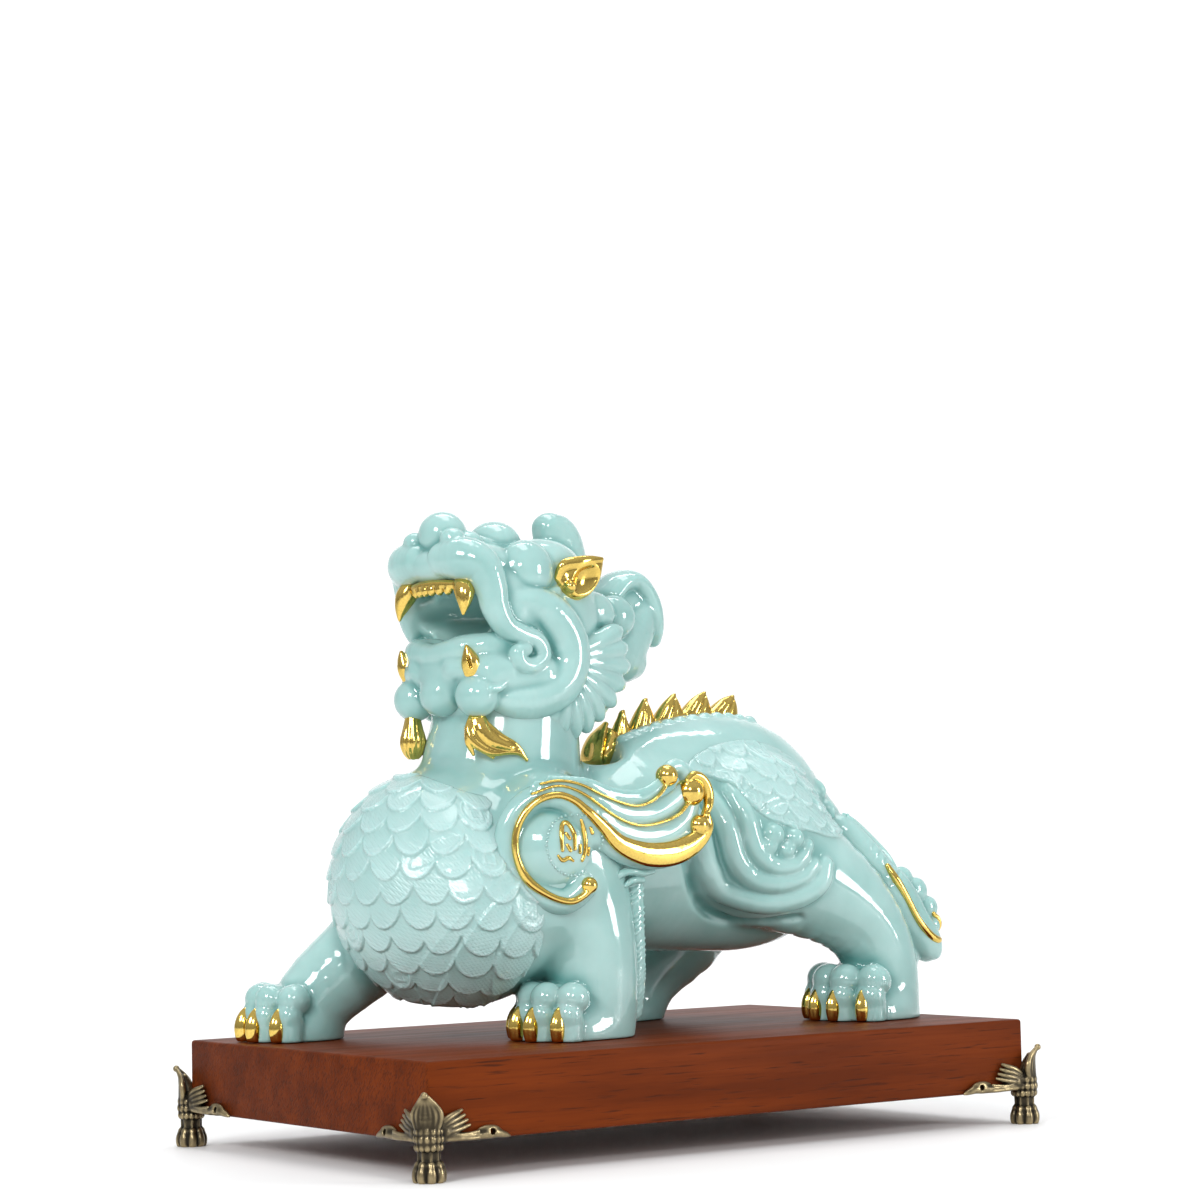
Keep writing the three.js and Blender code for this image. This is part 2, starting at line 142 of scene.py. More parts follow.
def middle_limb(rows: Sequence, blend: float, steps: int = 4) -> Limb:
    """A limb in the figure's middle plane, from rows of x, z and two radii."""
    return Limb([[x, MIDDLE_Y, z, *radii] for x, z, *radii in rows], blend, steps)


def smooth_path(stations: Sequence[Sequence[float]], steps: int) -> np.ndarray:
    """Resamples a row of stations as a smooth curve through all of them.

    Args:
        stations: The rows to pass through, of any width.
        steps: The number of stretches between two stations.

    Returns:
        An array with one row for each point of the curve.
    """
    rows = np.array(stations, float)
    if len(rows) < 3 or steps == 1:
        return rows
    padded = np.concatenate([2 * rows[:1] - rows[1:2], rows, 2 * rows[-1:] - rows[-2:-1]])
    found = []
    for at in range(len(rows) - 1):
        a, b, c, d = padded[at : at + 4]
        for t in np.arange(steps) / steps:
            found.append(
                0.5 * (2 * b + (c - a) * t + (2 * a - 5 * b + 4 * c - d) * t**2
                       + (3 * b - a - 3 * c + d) * t**3)
            )
    found.append(rows[-1])
    return np.array(found)


def smooth_min(a: np.ndarray, b: np.ndarray, blend: float) -> np.ndarray:
    """The lower of two distances, rounded over where they are alike.

    Args:
        a: Distances.
        b: Other distances.
        blend: The width of the rounding, in mm.

    Returns:
        The joined distances.
    """
    low = np.minimum(a, b)
    if blend <= 0:
        return low
    near = np.maximum(blend - np.abs(a - b), 0) / blend
    return low - near * near * (blend / 4)


def unit(directions: np.ndarray) -> np.ndarray:
    """Directions brought to a length of 1."""
    return directions / (np.linalg.norm(directions, axis=1, keepdims=True) + 1e-9)


def eased(value: np.ndarray, low: float, high: float) -> np.ndarray:
    """A smooth step from 0 at low to 1 at high."""
    t = np.clip((value - low) / (high - low), 0, 1)
    return t * t * (3 - 2 * t)


def along_axis(values: np.ndarray, axis: int) -> np.ndarray:
    """Shapes a row of values so that it runs along one axis of a grid."""
    return values.reshape([len(values) if a == axis else 1 for a in range(3)])


class Clay:
    """A block of clay, held as distances on a grid, whose skin is taken as a mesh."""

    def __init__(self, low: Point, high: Point, cell: float) -> None:
        """Makes an empty block.

        Args:
            low: The lowest corner, in mm.
            high: The highest corner, in mm.
            cell: The spacing of the grid, in mm.
        """
        self.low = np.array(low, np.float32)
        self.cell = cell
        self.counts = [int(math.ceil((h - l) / cell)) + 1 for l, h in zip(low, high)]
        self.field = np.full(self.counts, OUTSIDE, np.float32)

    def window(
        self, low: np.ndarray, high: np.ndarray
    ) -> tuple[tuple[slice, ...], list[np.ndarray]] | None:
        """Finds the part of the grid inside a box.

        Args:
            low: The box's lowest corner.
            high: The box's highest corner.

        Returns:
            The slices of the grid and its open coordinates, or None where the box misses the block.
        """
        slices, axes = [], []
        for axis in range(3):
            first = max(0, int(math.floor((low[axis] - self.low[axis]) / self.cell)))
            last = min(self.counts[axis], int(math.ceil((high[axis] - self.low[axis]) / self.cell)) + 1)
            if first >= last:
                return None
            slices.append(slice(first, last))
            axes.append(along_axis(self.low[axis] + self.cell * np.arange(first, last, dtype=np.float32),
                                   axis))
        return tuple(slices), axes

    def measure(self, form: Form) -> tuple[tuple[slice, ...], np.ndarray] | None:
        """Works out a form's distances in the part of the grid that it can reach."""
        return self._measure_ball(form) if isinstance(form, Ball) else self._measure_limb(form)

    def _measure_ball(self, ball: Ball) -> tuple[tuple[slice, ...], np.ndarray] | None:
        """The distances from an egg.

        Args:
            ball: The egg.

        Returns:
            The part of the grid that it reaches and its distances there, or None.
        """
        reach = max(ball.radii) if any(ball.turn) else np.array(ball.radii)
        reach = reach + ball.blend + 3 * self.cell
        found = self.window(np.array(ball.centre) - reach, np.array(ball.centre) + reach)
        if found is None:
            return None
        slices, (x, y, z) = found
        x, y, z = x - ball.centre[0], y - ball.centre[1], z - ball.centre[2]
        if any(ball.turn):
            tx, ty, tz = (math.radians(t) for t in ball.turn)
            turned = Matrix.Rotation(tz, 3, "Z") @ Matrix.Rotation(ty, 3, "Y") @ Matrix.Rotation(tx, 3, "X")
            back = turned.transposed()
            x, y, z = (row[0] * x + row[1] * y + row[2] * z for row in back)
        rx, ry, rz = ball.radii
        inner = np.sqrt((x / rx) ** 2 + (y / ry) ** 2 + (z / rz) ** 2)
        outer = np.sqrt((x / rx**2) ** 2 + (y / ry**2) ** 2 + (z / rz**2) ** 2) + 1e-6
        return slices, (inner * (inner - 1) / outer).astype(np.float32)

    def _measure_limb(self, limb: Limb) -> tuple[tuple[slice, ...], np.ndarray] | None:
        """The distances from a rolled length, stretch by stretch.

        Args:
            limb: The rolled length.

        Returns:
            The part of the grid that it reaches and its distances there, or None.
        """
        path = smooth_path([[*s, s[3]] if len(s) == 4 else s for s in limb.stations], limb.steps)
        reach = limb.blend + 3 * self.cell
        wide = path[:, 3:].max(1)[:, None] + reach
        found = self.window((path[:, :3] - wide).min(0), (path[:, :3] + wide).max(0))
        if found is None:
            return None
        slices, axes = found
        near = np.full([s.stop - s.start for s in slices], OUTSIDE, np.float32)
        for a, b in zip(path[:-1], path[1:]):
            room = max(a[3:].max(), b[3:].max()) + reach
            part, own = [], []
            for axis in range(3):
                values = axes[axis].ravel()
                low, high = min(a[axis], b[axis]) - room, max(a[axis], b[axis]) + room
                first, last = np.searchsorted(values, [low, high])
                part.append(slice(first, last))
                own.append(along_axis(values[first:last], axis) - np.float32(a[axis]))
            if any(s.start >= s.stop for s in part):
                continue
            along = (b - a).astype(np.float32)
            length = float(along[:3] @ along[:3]) + 1e-6
            t = np.clip((own[0] * along[0] + own[1] * along[1] + own[2] * along[2]) / length, 0, 1)
            radius = a[3] + t * along[3]
            flat = radius / (a[4] + t * along[4])
            away = np.sqrt(
                (own[0] - t * along[0]) ** 2
                + ((own[1] - t * along[1]) * flat) ** 2
                + (own[2] - t * along[2]) ** 2
            )
            view = near[tuple(part)]
            np.minimum(view, (away - radius).astype(np.float32), out=view)
        if limb.ceiling is not None:
            near = np.maximum(near, axes[2] - limb.ceiling)
        return slices, near

    def add(self, *forms: Form) -> None:
        """Presses forms on, each with its own blend."""
        for form in forms:
            found = self.measure(form)
            if found is not None:
                slices, distance = found
                self.field[slices] = smooth_min(self.field[slices], distance, form.blend)

    def cut(self, *forms: Form) -> None:
        """Scoops forms out, each with its own blend."""
        for form in forms:
            found = self.measure(form)
            if found is not None:
                slices, distance = found
                self.field[slices] = -smooth_min(-self.field[slices], distance, form.blend)

    def cut_below(self, height: float) -> None:
        """Slices off all that is lower than a height."""
        z = self.low[2] + self.cell * np.arange(self.counts[2], dtype=np.float32)
        np.maximum(self.field, height - z[None, None, :], out=self.field)

    def sample(self, points: np.ndarray) -> np.ndarray:
        """Reads the distance at any points, between the grid's own.

        Args:
            points: Places, one in each row.

        Returns:
            A distance for each place.
        """
        place = (points - self.low) / self.cell
        place = np.clip(place, 0, np.array(self.counts) - 1.001)
        base = place.astype(np.int64)
        fx, fy, fz = (place - base).T
        flat = self.field.ravel()
        _, ny, nz = self.counts
        at = (base[:, 0] * ny + base[:, 1]) * nz + base[:, 2]
        low = (flat[at] * (1 - fz) + flat[at + 1] * fz) * (1 - fy)
        low += (flat[at + nz] * (1 - fz) + flat[at + nz + 1] * fz) * fy
        at = at + ny * nz
        high = (flat[at] * (1 - fz) + flat[at + 1] * fz) * (1 - fy)
        high += (flat[at + nz] * (1 - fz) + flat[at + nz + 1] * fz) * fy
        return low * (1 - fx) + high * fx

    def slope(self, points: np.ndarray) -> np.ndarray:
        """The direction in which the distance grows, at any points.

        Args:
            points: Places, one in each row.

        Returns:
            A direction for each place, not brought to a length of 1.
        """
        step = 0.6 * self.cell
        found = np.empty_like(points)
        for axis in range(3):
            shift = np.zeros(3)
            shift[axis] = step
            found[:, axis] = (self.sample(points + shift) - self.sample(points - shift)) / (2 * step)
        return found

    def settle(self, points: np.ndarray, toward: np.ndarray, reach: float) -> tuple[np.ndarray, np.ndarray]:
        """Slides points along a direction until they meet the clay.

        Args:
            points: An (n, 3) array of starting points outside the clay.
            toward: The direction of each point, or one for all.
            reach: How far they may slide, in mm.

        Returns:
            The points on the clay's skin and the outward normals there.
        """
        points = np.array(points, float)
        toward = np.broadcast_to(np.array(toward, float), points.shape)
        toward = toward / np.linalg.norm(toward, axis=1, keepdims=True)
        far = np.full(len(points), reach)
        last = np.zeros(len(points))
        open_still = np.ones(len(points), bool)
        for depth in np.arange(0, reach, self.cell):
            inside = open_still & (self.sample(points + toward * depth) < 0)
            far[inside] = depth
            open_still &= ~inside
            last[open_still] = depth
        for _ in range(6):
            middle = (far + last) / 2
            inside = self.sample(points + toward * middle[:, None]) < 0
            far = np.where(inside, middle, far)
            last = np.where(inside, last, middle)
        on = points + toward * far[:, None]
        return on, unit(self.slope(on))

    def bend(self, points: np.ndarray, reach: float) -> np.ndarray:
        """How the skin bends at each point, from -1 deep in a crease through 0 to 1 on a sharp ridge.

        Args:
            points: Places on the skin.
            reach: How far to either side it is felt, in mm.

        Returns:
            A number for each place.
        """
        span = max(1, int(round(reach / self.cell)))
        blurred = np.clip(self.field, -reach, reach)
        for axis in range(3):
            pads = [(span + 1, span) if a == axis else (0, 0) for a in range(3)]
            total = np.cumsum(np.pad(blurred, pads, mode="edge"), axis, dtype=np.float32)
            count = self.counts[axis]
            ahead = np.take(total, np.arange(count) + 2 * span + 1, axis)
            blurred = (ahead - np.take(total, np.arange(count), axis)) / (2 * span + 1)
        keep = self.field
        self.field = blurred.astype(np.float32)
        value = self.sample(points)
        self.field = keep
        return np.clip(value / (FULL_BEND * reach), -1, 1)

    def skin(self, rounds: int = 3) -> tuple[np.ndarray, np.ndarray]:
        """Takes the clay's skin as an even net of four-sided faces.

        Args:
            rounds: How often the net is evened out and laid on the clay again.

        Returns:
            The vertices, in mm, and the faces as rows of four vertex numbers.
        """
        for axis in range(3):
            border = np.moveaxis(self.field, axis, 0)
            border[[0, -1]] = np.maximum(border[[0, -1]], 0.5 * self.cell)
        inside = self.field < 0
        count = np.zeros([c - 1 for c in self.counts], np.int8)
        corners = [(i, j, k) for i in (0, 1) for j in (0, 1) for k in (0, 1)]
        nx, ny, nz = self.counts
        for i, j, k in corners:
            count += inside[i : nx - 1 + i, j : ny - 1 + j, k : nz - 1 + k]
        active = np.flatnonzero((count > 0) & (count < 8))
        cells = np.stack(np.unravel_index(active, count.shape), axis=1)
        values = {c: self.field[cells[:, 0] + c[0], cells[:, 1] + c[1],
                                cells[:, 2] + c[2]] for c in corners}
        total = np.zeros((len(cells), 3))
        crossings = np.zeros(len(cells))
        for start in corners:
            for axis in range(3):
                if start[axis]:
                    continue
                end = tuple(v + (a == axis) for a, v in enumerate(start))
                f0, f1 = values[start], values[end]
                cross = (f0 < 0) != (f1 < 0)
                share = np.where(cross, f0 / np.where(cross, f0 - f1, 1), 0)
                place = np.tile(np.array(start, float), (len(cells), 1))
                place[:, axis] = share
                total += place * cross[:, None]
                crossings += cross
        vertices = self.low + self.cell * (cells + total / crossings[:, None])
        number = np.full(count.shape, -1, np.int32)
        number.ravel()[active] = np.arange(len(active), dtype=np.int32)
        faces = np.concatenate([self._faces(inside, number, axis) for axis in range(3)])
        for _ in range(rounds):
            vertices = self._evened(vertices, faces)
        return vertices, faces

    def _faces(self, inside: np.ndarray, number: np.ndarray, axis: int) -> np.ndarray:
        """The faces across the grid's edges that run along one axis.

        Args:
            inside: Where the grid lies in the clay.
            number: The number of the vertex in each cell, below 0 where it has none.
            axis: The axis of the edges.

        Returns:
            Triangles as rows of vertex numbers.
        """
        first = np.take(inside, np.arange(inside.shape[axis] - 1), axis)
        second = np.take(inside, np.arange(1, inside.shape[axis]), axis)
        u, v = (axis + 1) % 3, (axis + 2) % 3
        edges = np.stack(np.nonzero(first != second), axis=1)
        edges = edges[(edges[:, u] > 0) & (edges[:, v] > 0)]
        edges = edges[(edges[:, u] < inside.shape[u] - 1) & (edges[:, v] < inside.shape[v] - 1)]
        outward = first[edges[:, 0], edges[:, 1], edges[:, 2]]
        rows = []
        for du, dv in ((-1, -1), (0, -1), (0, 0), (-1, 0)):
            cell = edges.copy()
            cell[:, u] += du
            cell[:, v] += dv
            rows.append(number[cell[:, 0], cell[:, 1], cell[:, 2]])
        found = np.stack(rows, axis=1)
        found[~outward] = found[~outward][:, ::-1]
        return found

    def _evened(self, vertices: np.ndarray, faces: np.ndarray) -> np.ndarray:
        """Moves each vertex to the middle of its neighbours and back onto the clay.

        Args:
            vertices: The places of the vertices.
            faces: Triangles as rows of vertex numbers.

        Returns:
            The places after evening.
        """
        size = len(vertices)
        total = np.zeros((size, 3))
        count = np.zeros(size)
        for corner in range(4):
            own = faces[:, corner]
            for other in (faces[:, (corner + 1) % 4], faces[:, corner - 1]):
                count += np.bincount(own, minlength=size)
                for axis in range(3):
                    total[:, axis] += np.bincount(own, vertices[other, axis], minlength=size)
        moved = STAYING * vertices + (1 - STAYING) * total / count[:, None]
        slope = self.slope(moved)
        steep = (slope**2).sum(1) + 0.05
        step = np.clip(self.sample(moved), -self.cell, self.cell) / steep
        return moved - slope * step[:, None]


def mesh_piece(
    name: str,
    vertices: np.ndarray,
    faces: np.ndarray | list,
    material: Material,
    node: str = FIGURE,
    normals: np.ndarray | None = None,
    **values: np.ndarray,
) -> Thing:
    """Makes a finished piece from vertices and faces, gives it its finish and hides the CAD node that it
    stands for.

    Args:
        name: The piece's name.
        vertices: The vertices, in metres.
        faces: The faces as rows of vertex numbers.
        material: The finish, named as its slot.
        node: The CAD node that the piece stands for.
        normals: The surface's own directions at the vertices, where they are known.
        values: A number for each vertex, kept as an attribute of that name.

    Returns:
        The new object.
    """
    mesh = bpy.data.meshes.new(name)
    mesh.from_pydata(vertices.tolist(), [], faces.tolist() if isinstance(faces, np.ndarray) else faces)
    for key, value in values.items():
        mesh.attributes.new(key, "FLOAT", "POINT").data.foreach_set("value", value.astype(np.float32))
    mesh.shade_smooth()
    if normals is not None:
        mesh.normals_split_custom_set_from_vertices(normals.tolist())
    piece = bpy.data.objects.new(name, mesh)
    bpy.context.scene.collection.objects.link(piece)
    return register(piece, material, node)


def thinned(vertices: np.ndarray, faces: np.ndarray, keep: float) -> tuple[np.ndarray, np.ndarray]:
    """Merges the faces of a net where it is nearly flat, until a share of them is left.

    Args:
        vertices: The net's vertices.
        faces: Its faces as rows of vertex numbers.
        keep: The share of triangles to keep.

    Returns:
        The vertices and the triangles that are left.
    """
    mesh = bpy.data.meshes.new("net")
    mesh.from_pydata(vertices.tolist(), [], faces.tolist())
    net = bpy.data.objects.new("net", mesh)
    bpy.context.scene.collection.objects.link(net)
    bpy.context.view_layer.objects.active = net
    bpy.ops.object.modifier_add(type="DECIMATE")
    net.modifiers[0].ratio = keep
    bpy.ops.object.modifier_apply(modifier=net.modifiers[0].name)
    left = np.empty(3 * len(mesh.vertices))
    mesh.vertices.foreach_get("co", left)
    mesh.calc_loop_triangles()
    triangles = np.empty(3 * len(mesh.loop_triangles), np.int32)
    mesh.loop_triangles.foreach_get("vertices", triangles)
    bpy.data.objects.remove(net)
    bpy.data.meshes.remove(mesh)
    return left.reshape(-1, 3), triangles.reshape(-1, 3)


def register(piece: Thing, material: Material, node: str) -> Thing:
    """Gives a piece its finish and its body, hides the CAD node that it stands for and logs its triangles.

    Args:
        piece: The finished object.
        material: The finish, named as its slot.
        node: The CAD node that it stands for, which is hidden.

    Returns:
        The same object.
    """
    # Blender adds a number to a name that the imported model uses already.
    piece.data.materials.clear()
    piece.data.materials.append(material)
    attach(piece, "root")
    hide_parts(node)
    piece.data.calc_loop_triangles()
    LOG.info("%s: %d triangles", piece.name, len(piece.data.loop_triangles))
    return piece


def clay_piece(
    name: str,
    clay: Clay,
    place: Place,
    material: Material,
    crease: float = 5.0,
    keep: float = 0.6,
) -> Thing:
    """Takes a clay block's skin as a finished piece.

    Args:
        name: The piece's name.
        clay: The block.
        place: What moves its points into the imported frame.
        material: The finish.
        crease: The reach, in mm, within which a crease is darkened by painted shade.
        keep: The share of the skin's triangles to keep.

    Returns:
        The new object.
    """
    vertices, faces = clay.skin()
    vertices, faces = thinned(vertices, faces, keep)
    normals = unit(clay.slope(vertices))
    set_out = place(vertices)
    normals = (place(vertices + normals) - set_out) / MM
    # How deep each vertex lies in a crease, which the jade and gilding finishes paint as shade.
    hollow = np.maximum(-clay.bend(vertices, crease), 0)
    return mesh_piece(name, set_out, faces, material, FIGURE, normals, hollow=hollow, frost=0 * hollow)


def group_socket(group: bpy.types.NodeTree, name: str, way: str, kind: str,
                 value: float | None = None) -> None:
    """Adds one socket to a node group.

    Args:
        group: The node group.
        name: The socket's name.
        way: INPUT or OUTPUT.
        kind: The socket's type.
        value: Its value where nothing is linked.
    """
    socket = group.interface.new_socket(name=name, in_out=way, socket_type=kind)
    if value is not None:
        socket.default_value = value


class Nodes:
    """A short way to add and link the nodes of one tree."""

    def __init__(self, tree: bpy.types.NodeTree) -> None:
        """Keeps the tree that the nodes go into."""
        self.tree = tree

    def add(self, kind: str, inputs: dict | None = None, **settings: object) -> bpy.types.Node:
        """Adds a node, sets it and fills its inputs.

        Args:
            kind: The node's type name, without the ShaderNode before it.
            inputs: Values or other nodes' sockets, by input name or number.
            settings: The node's own settings.

        Returns:
            The new node.
        """
        node = self.tree.nodes.new(f"ShaderNode{kind}")
        for key, value in settings.items():
            setattr(node, key, value)
        self.fill(node, inputs or {})
        return node

    def fill(self, node: bpy.types.Node, inputs: dict) -> None:
        """Fills a node's inputs.

        Args:
            node: The node.
            inputs: Values or other nodes' sockets, by input name or number.
        """
        for key, value in inputs.items():
            if isinstance(value, Socket):
                self.tree.links.new(value, node.inputs[key])
            else:
                node.inputs[key].default_value = value

    def math(self, operation: str, a: object, b: object = 0.0) -> Socket:
        """One step of arithmetic on values or sockets."""
        return self.add("Math", {0: a, 1: b}, operation=operation).outputs[0]

    def mix(self, share: object, a: object, b: object) -> Socket:
        """Mixes two colours by a share."""
        return self.add("Mix", {0: share, 6: a, 7: b}, data_type="RGBA").outputs[2]

    def attribute(self, name: str) -> Socket:
        """Reads a number that each piece keeps at its vertices."""
        return self.add("Attribute", None, attribute_name=name).outputs["Fac"]

    def stretched(self, place: object, scale: Point) -> Socket:
        """Stretches a pattern's place by a scale along each axis."""
        return self.add("Mapping", {"Vector": place, "Scale": scale}).outputs[0]

    def bump(self, height: object, strength: float, distance: float) -> Socket:
        """Turns a height, at most a distance in metres, into a normal."""
        return self.add("Bump", {"Height": height, "Strength": strength, "Distance": distance}).outputs[0]

    def spread(self, value: object, low: float, high: float, to_low: float, to_high: float) -> Socket:
        """Maps a value from one range to another, kept inside it."""
        inputs = {"Value": value, "From Min": low, "From Max": high, "To Min": to_low, "To Max": to_high}
        return self.add("MapRange", inputs).outputs["Result"]

    def noise(self, place: object, scale: float, detail: float = 3.0, roughness: float = 0.5) -> Socket:
        """Cloudy values from 0 to 1."""
        inputs = {"Vector": place, "Scale": scale, "Detail": detail, "Roughness": roughness}
        return self.add("TexNoise", inputs).outputs[0]


def drift_group() -> bpy.types.NodeTree:
    """A node group for the broad and the fine unevenness that every cast or finished surface has.

    Returns:
        The group, made on the first call.
    """
    found = bpy.data.node_groups.get("surface_drift")
    if found is not None:
        return found
    group = bpy.data.node_groups.new("surface_drift", "ShaderNodeTree")
    group_socket(group, "Broad Scale", "INPUT", "NodeSocketFloat", 30.0)
    group_socket(group, "Fine Scale", "INPUT", "NodeSocketFloat", 900.0)
    group_socket(group, "Broad", "OUTPUT", "NodeSocketFloat")
    group_socket(group, "Fine", "OUTPUT", "NodeSocketFloat")
    nodes = Nodes(group)
    entry = group.nodes.new("NodeGroupInput")
    place = nodes.add("TexCoord").outputs["Object"]
    broad = nodes.add("TexNoise", {"Vector": place, "Scale": entry.outputs[0], "Detail": 4.0})
    fine = nodes.add("TexNoise", {"Vector": place, "Scale": entry.outputs[1], "Detail": 2.0})
    nodes.fill(group.nodes.new("NodeGroupOutput"), {0: broad.outputs[0], 1: fine.outputs[0]})
    return group


def new_material(name: str) -> tuple[Material, Nodes, bpy.types.Node]:
    """Starts a material.

    Args:
        name: The material's name.

    Returns:
        The material, its nodes and its Principled shader.
    """
    material = bpy.data.materials.new(name)
    material.use_nodes = True
    tree = material.node_tree
    tree.nodes.clear()
    nodes = Nodes(tree)
    shader = nodes.add("BsdfPrincipled")
    nodes.add("OutputMaterial", {"Surface": shader.outputs[0]})
    return material, nodes, shader


def drift(nodes: Nodes, broad: float, fine: float) -> tuple[Socket, Socket]:
    """Places the drift group in a material and returns its broad and its fine output."""
    node = nodes.add("Group", {0: broad, 1: fine}, node_tree=drift_group())
    return node.outputs[0], node.outputs[1]


@dataclass(frozen=True)
class JadeResin:
    """Polished pale green translucent resin, frosted on the scales, with painted shade that darkens its
    creases to deep teal.
    """

    pale: tuple = (0.275, 0.470, 0.445, 1)
    milky: tuple = (0.36, 0.555, 0.53, 1)
    # The colour of the painted shade that the creases are mixed toward.
    deep: tuple = (0.075, 0.27, 0.25, 1)
    frosted: tuple = (0.52, 0.68, 0.68, 1)

    def build(self) -> Material:
        """Makes the material.

        Returns:
            The finished material.
        """
        material, nodes, shader = new_material(Slot.JADE.value)
        broad, fine = drift(nodes, 26.0, 1500.0)
        hollow = nodes.attribute("hollow")
        frost = nodes.attribute("frost")
        base = nodes.mix(nodes.spread(broad, 0.35, 0.65, 0, 1), self.pale, self.milky)
        base = nodes.mix(nodes.math("MULTIPLY", frost, 0.5), base, self.frosted)
        # Painted shade: the deeper a vertex lies in a crease, the more it is mixed toward the deep teal.
        base = nodes.mix(nodes.math("MULTIPLY", hollow, 0.8), base, self.deep)
        place = nodes.add("TexCoord").outputs["Object"]
        hatch = []
        for turn in (0.6, -0.9):
            turned = nodes.add("Mapping", {"Vector": place, "Rotation": (0.3, turn, turn)}).outputs[0]
            wave = nodes.add("TexWave", {"Vector": turned, "Scale": 190.0, "Distortion": 1.5})
            hatch.append(wave.outputs[1])
        crossed = nodes.math("MULTIPLY", nodes.math("MAXIMUM", hatch[0], hatch[1]), frost)
        grain = nodes.math("ADD", nodes.math("MULTIPLY", crossed, 0.9), nodes.math("MULTIPLY", fine, frost))
        plain = nodes.math("MULTIPLY", broad, 0.12)
        rough = nodes.math("ADD", nodes.spread(broad, 0.3, 0.7, 0.05, 0.12),
                           nodes.math("MULTIPLY", frost, 0.25))
        nodes.fill(shader, {
            "Base Color": base,
            "Roughness": rough,
            "Normal": nodes.bump(nodes.math("ADD", grain, plain), 0.6, 0.0004),
            "Subsurface Weight": 0.4,
            "Subsurface Radius": (0.5, 1.0, 0.95),
            "Subsurface Scale": 0.005,
            "IOR": 1.55,
            "Coat Weight": 0.4,
            "Coat Roughness": 0.03,
        })
        return material


@dataclass(frozen=True)
class Gilding:
    """Bright mirror gilding over the resin, with the slight unevenness of laid leaf and painted shade and
    painted dark reflection in its creases.
    """

    bright: tuple = (0.82, 0.58, 0.145, 1)
    # Used both for the darker flecks of the leaf and for the painted shade of the creases.
    deep: tuple = (0.23, 0.145, 0.022, 1)

    def build(self) -> Material:
        """Makes the material.

        Returns:
            The finished material.
        """
        material, nodes, shader = new_material(Slot.GILDING.value)
        broad, fine = drift(nodes, 140.0, 1300.0)
        hollow = nodes.attribute("hollow")
        base = nodes.mix(nodes.spread(fine, 0.35, 0.8, 0, 0.3), self.bright, self.deep)
        # Painted shade and painted dark reflection: the creases are mixed toward the deep colour.
        base = nodes.mix(nodes.math("MULTIPLY", hollow, 0.75), base, self.deep)
        height = nodes.math("ADD", nodes.math("MULTIPLY", fine, 0.12), broad)
        nodes.fill(shader, {
            "Base Color": base,
            "Roughness": nodes.spread(fine, 0.3, 0.8, 0.06, 0.18),
            "Normal": nodes.bump(height, 0.2, 0.0005),
            "Metallic": 1.0,
        })
        return material


@dataclass(frozen=True)
class StainedWood:
    """Red-brown stained wood under a satin varnish, with long grain and slanting pores on its ends."""

    red: tuple = (0.155, 0.029, 0.005, 1)
    brown: tuple = (0.095, 0.018, 0.004, 1)
    pore: tuple = (0.045, 0.013, 0.006, 1)
    end_slant: float = 0.9

    def build(self) -> Material:
        """Makes the material.

        Returns:
            The finished material.
        """
        material, nodes, shader = new_material(Slot.WOOD.value)
        place = nodes.add("TexCoord").outputs["Object"]
        along = nodes.stretched(place, (3.0, 34.0, 34.0))
        figure = nodes.noise(along, 1.6, 5.0, 0.6)
        long_streak = nodes.stretched(place, (9.0, 420.0, 420.0))
        streaks = nodes.noise(long_streak, 1.5, 3.0)
        long_pore = nodes.stretched(place, (45.0, 900.0, 900.0))
        pores = nodes.noise(long_pore, 1.0, 2.0)
        slanted = nodes.add("Mapping", {"Vector": place, "Rotation": (self.end_slant, 0.0, 0.0)}).outputs[0]
        short = nodes.stretched(slanted, (20.0, 420.0, 1500.0))
        end_pores = nodes.noise(short, 1.0, 2.0)
        facing = nodes.add("SeparateXYZ", {0: nodes.add("NewGeometry").outputs["Normal"]}).outputs[0]
        is_end = nodes.spread(nodes.math("ABSOLUTE", facing), 0.6, 0.8, 0, 1)
        base = nodes.mix(nodes.spread(figure, 0.38, 0.62, 0, 1), self.red, self.brown)
        base = nodes.mix(nodes.spread(streaks, 0.5, 0.8, 0, 0.6), base, self.brown)
        on_face = nodes.math("MULTIPLY", nodes.spread(pores, 0.6, 0.72, 0, 0.8),
                             nodes.math("SUBTRACT", 1.0, is_end))
        on_end = nodes.math("MULTIPLY", nodes.spread(end_pores, 0.48, 0.64, 0, 0.6), is_end)
        dark = nodes.math("ADD", on_face, on_end)
        base = nodes.mix(dark, base, self.pore)
        height = nodes.math("SUBTRACT", nodes.math("MULTIPLY", streaks, 0.3), dark)
        nodes.fill(shader, {
            "Base Color": base,
            "Roughness": nodes.spread(streaks, 0.3, 0.7, 0.38, 0.5),
            "Normal": nodes.bump(height, 0.35, 0.0003),
            "Specular IOR Level": 0.04,
        })
        return material


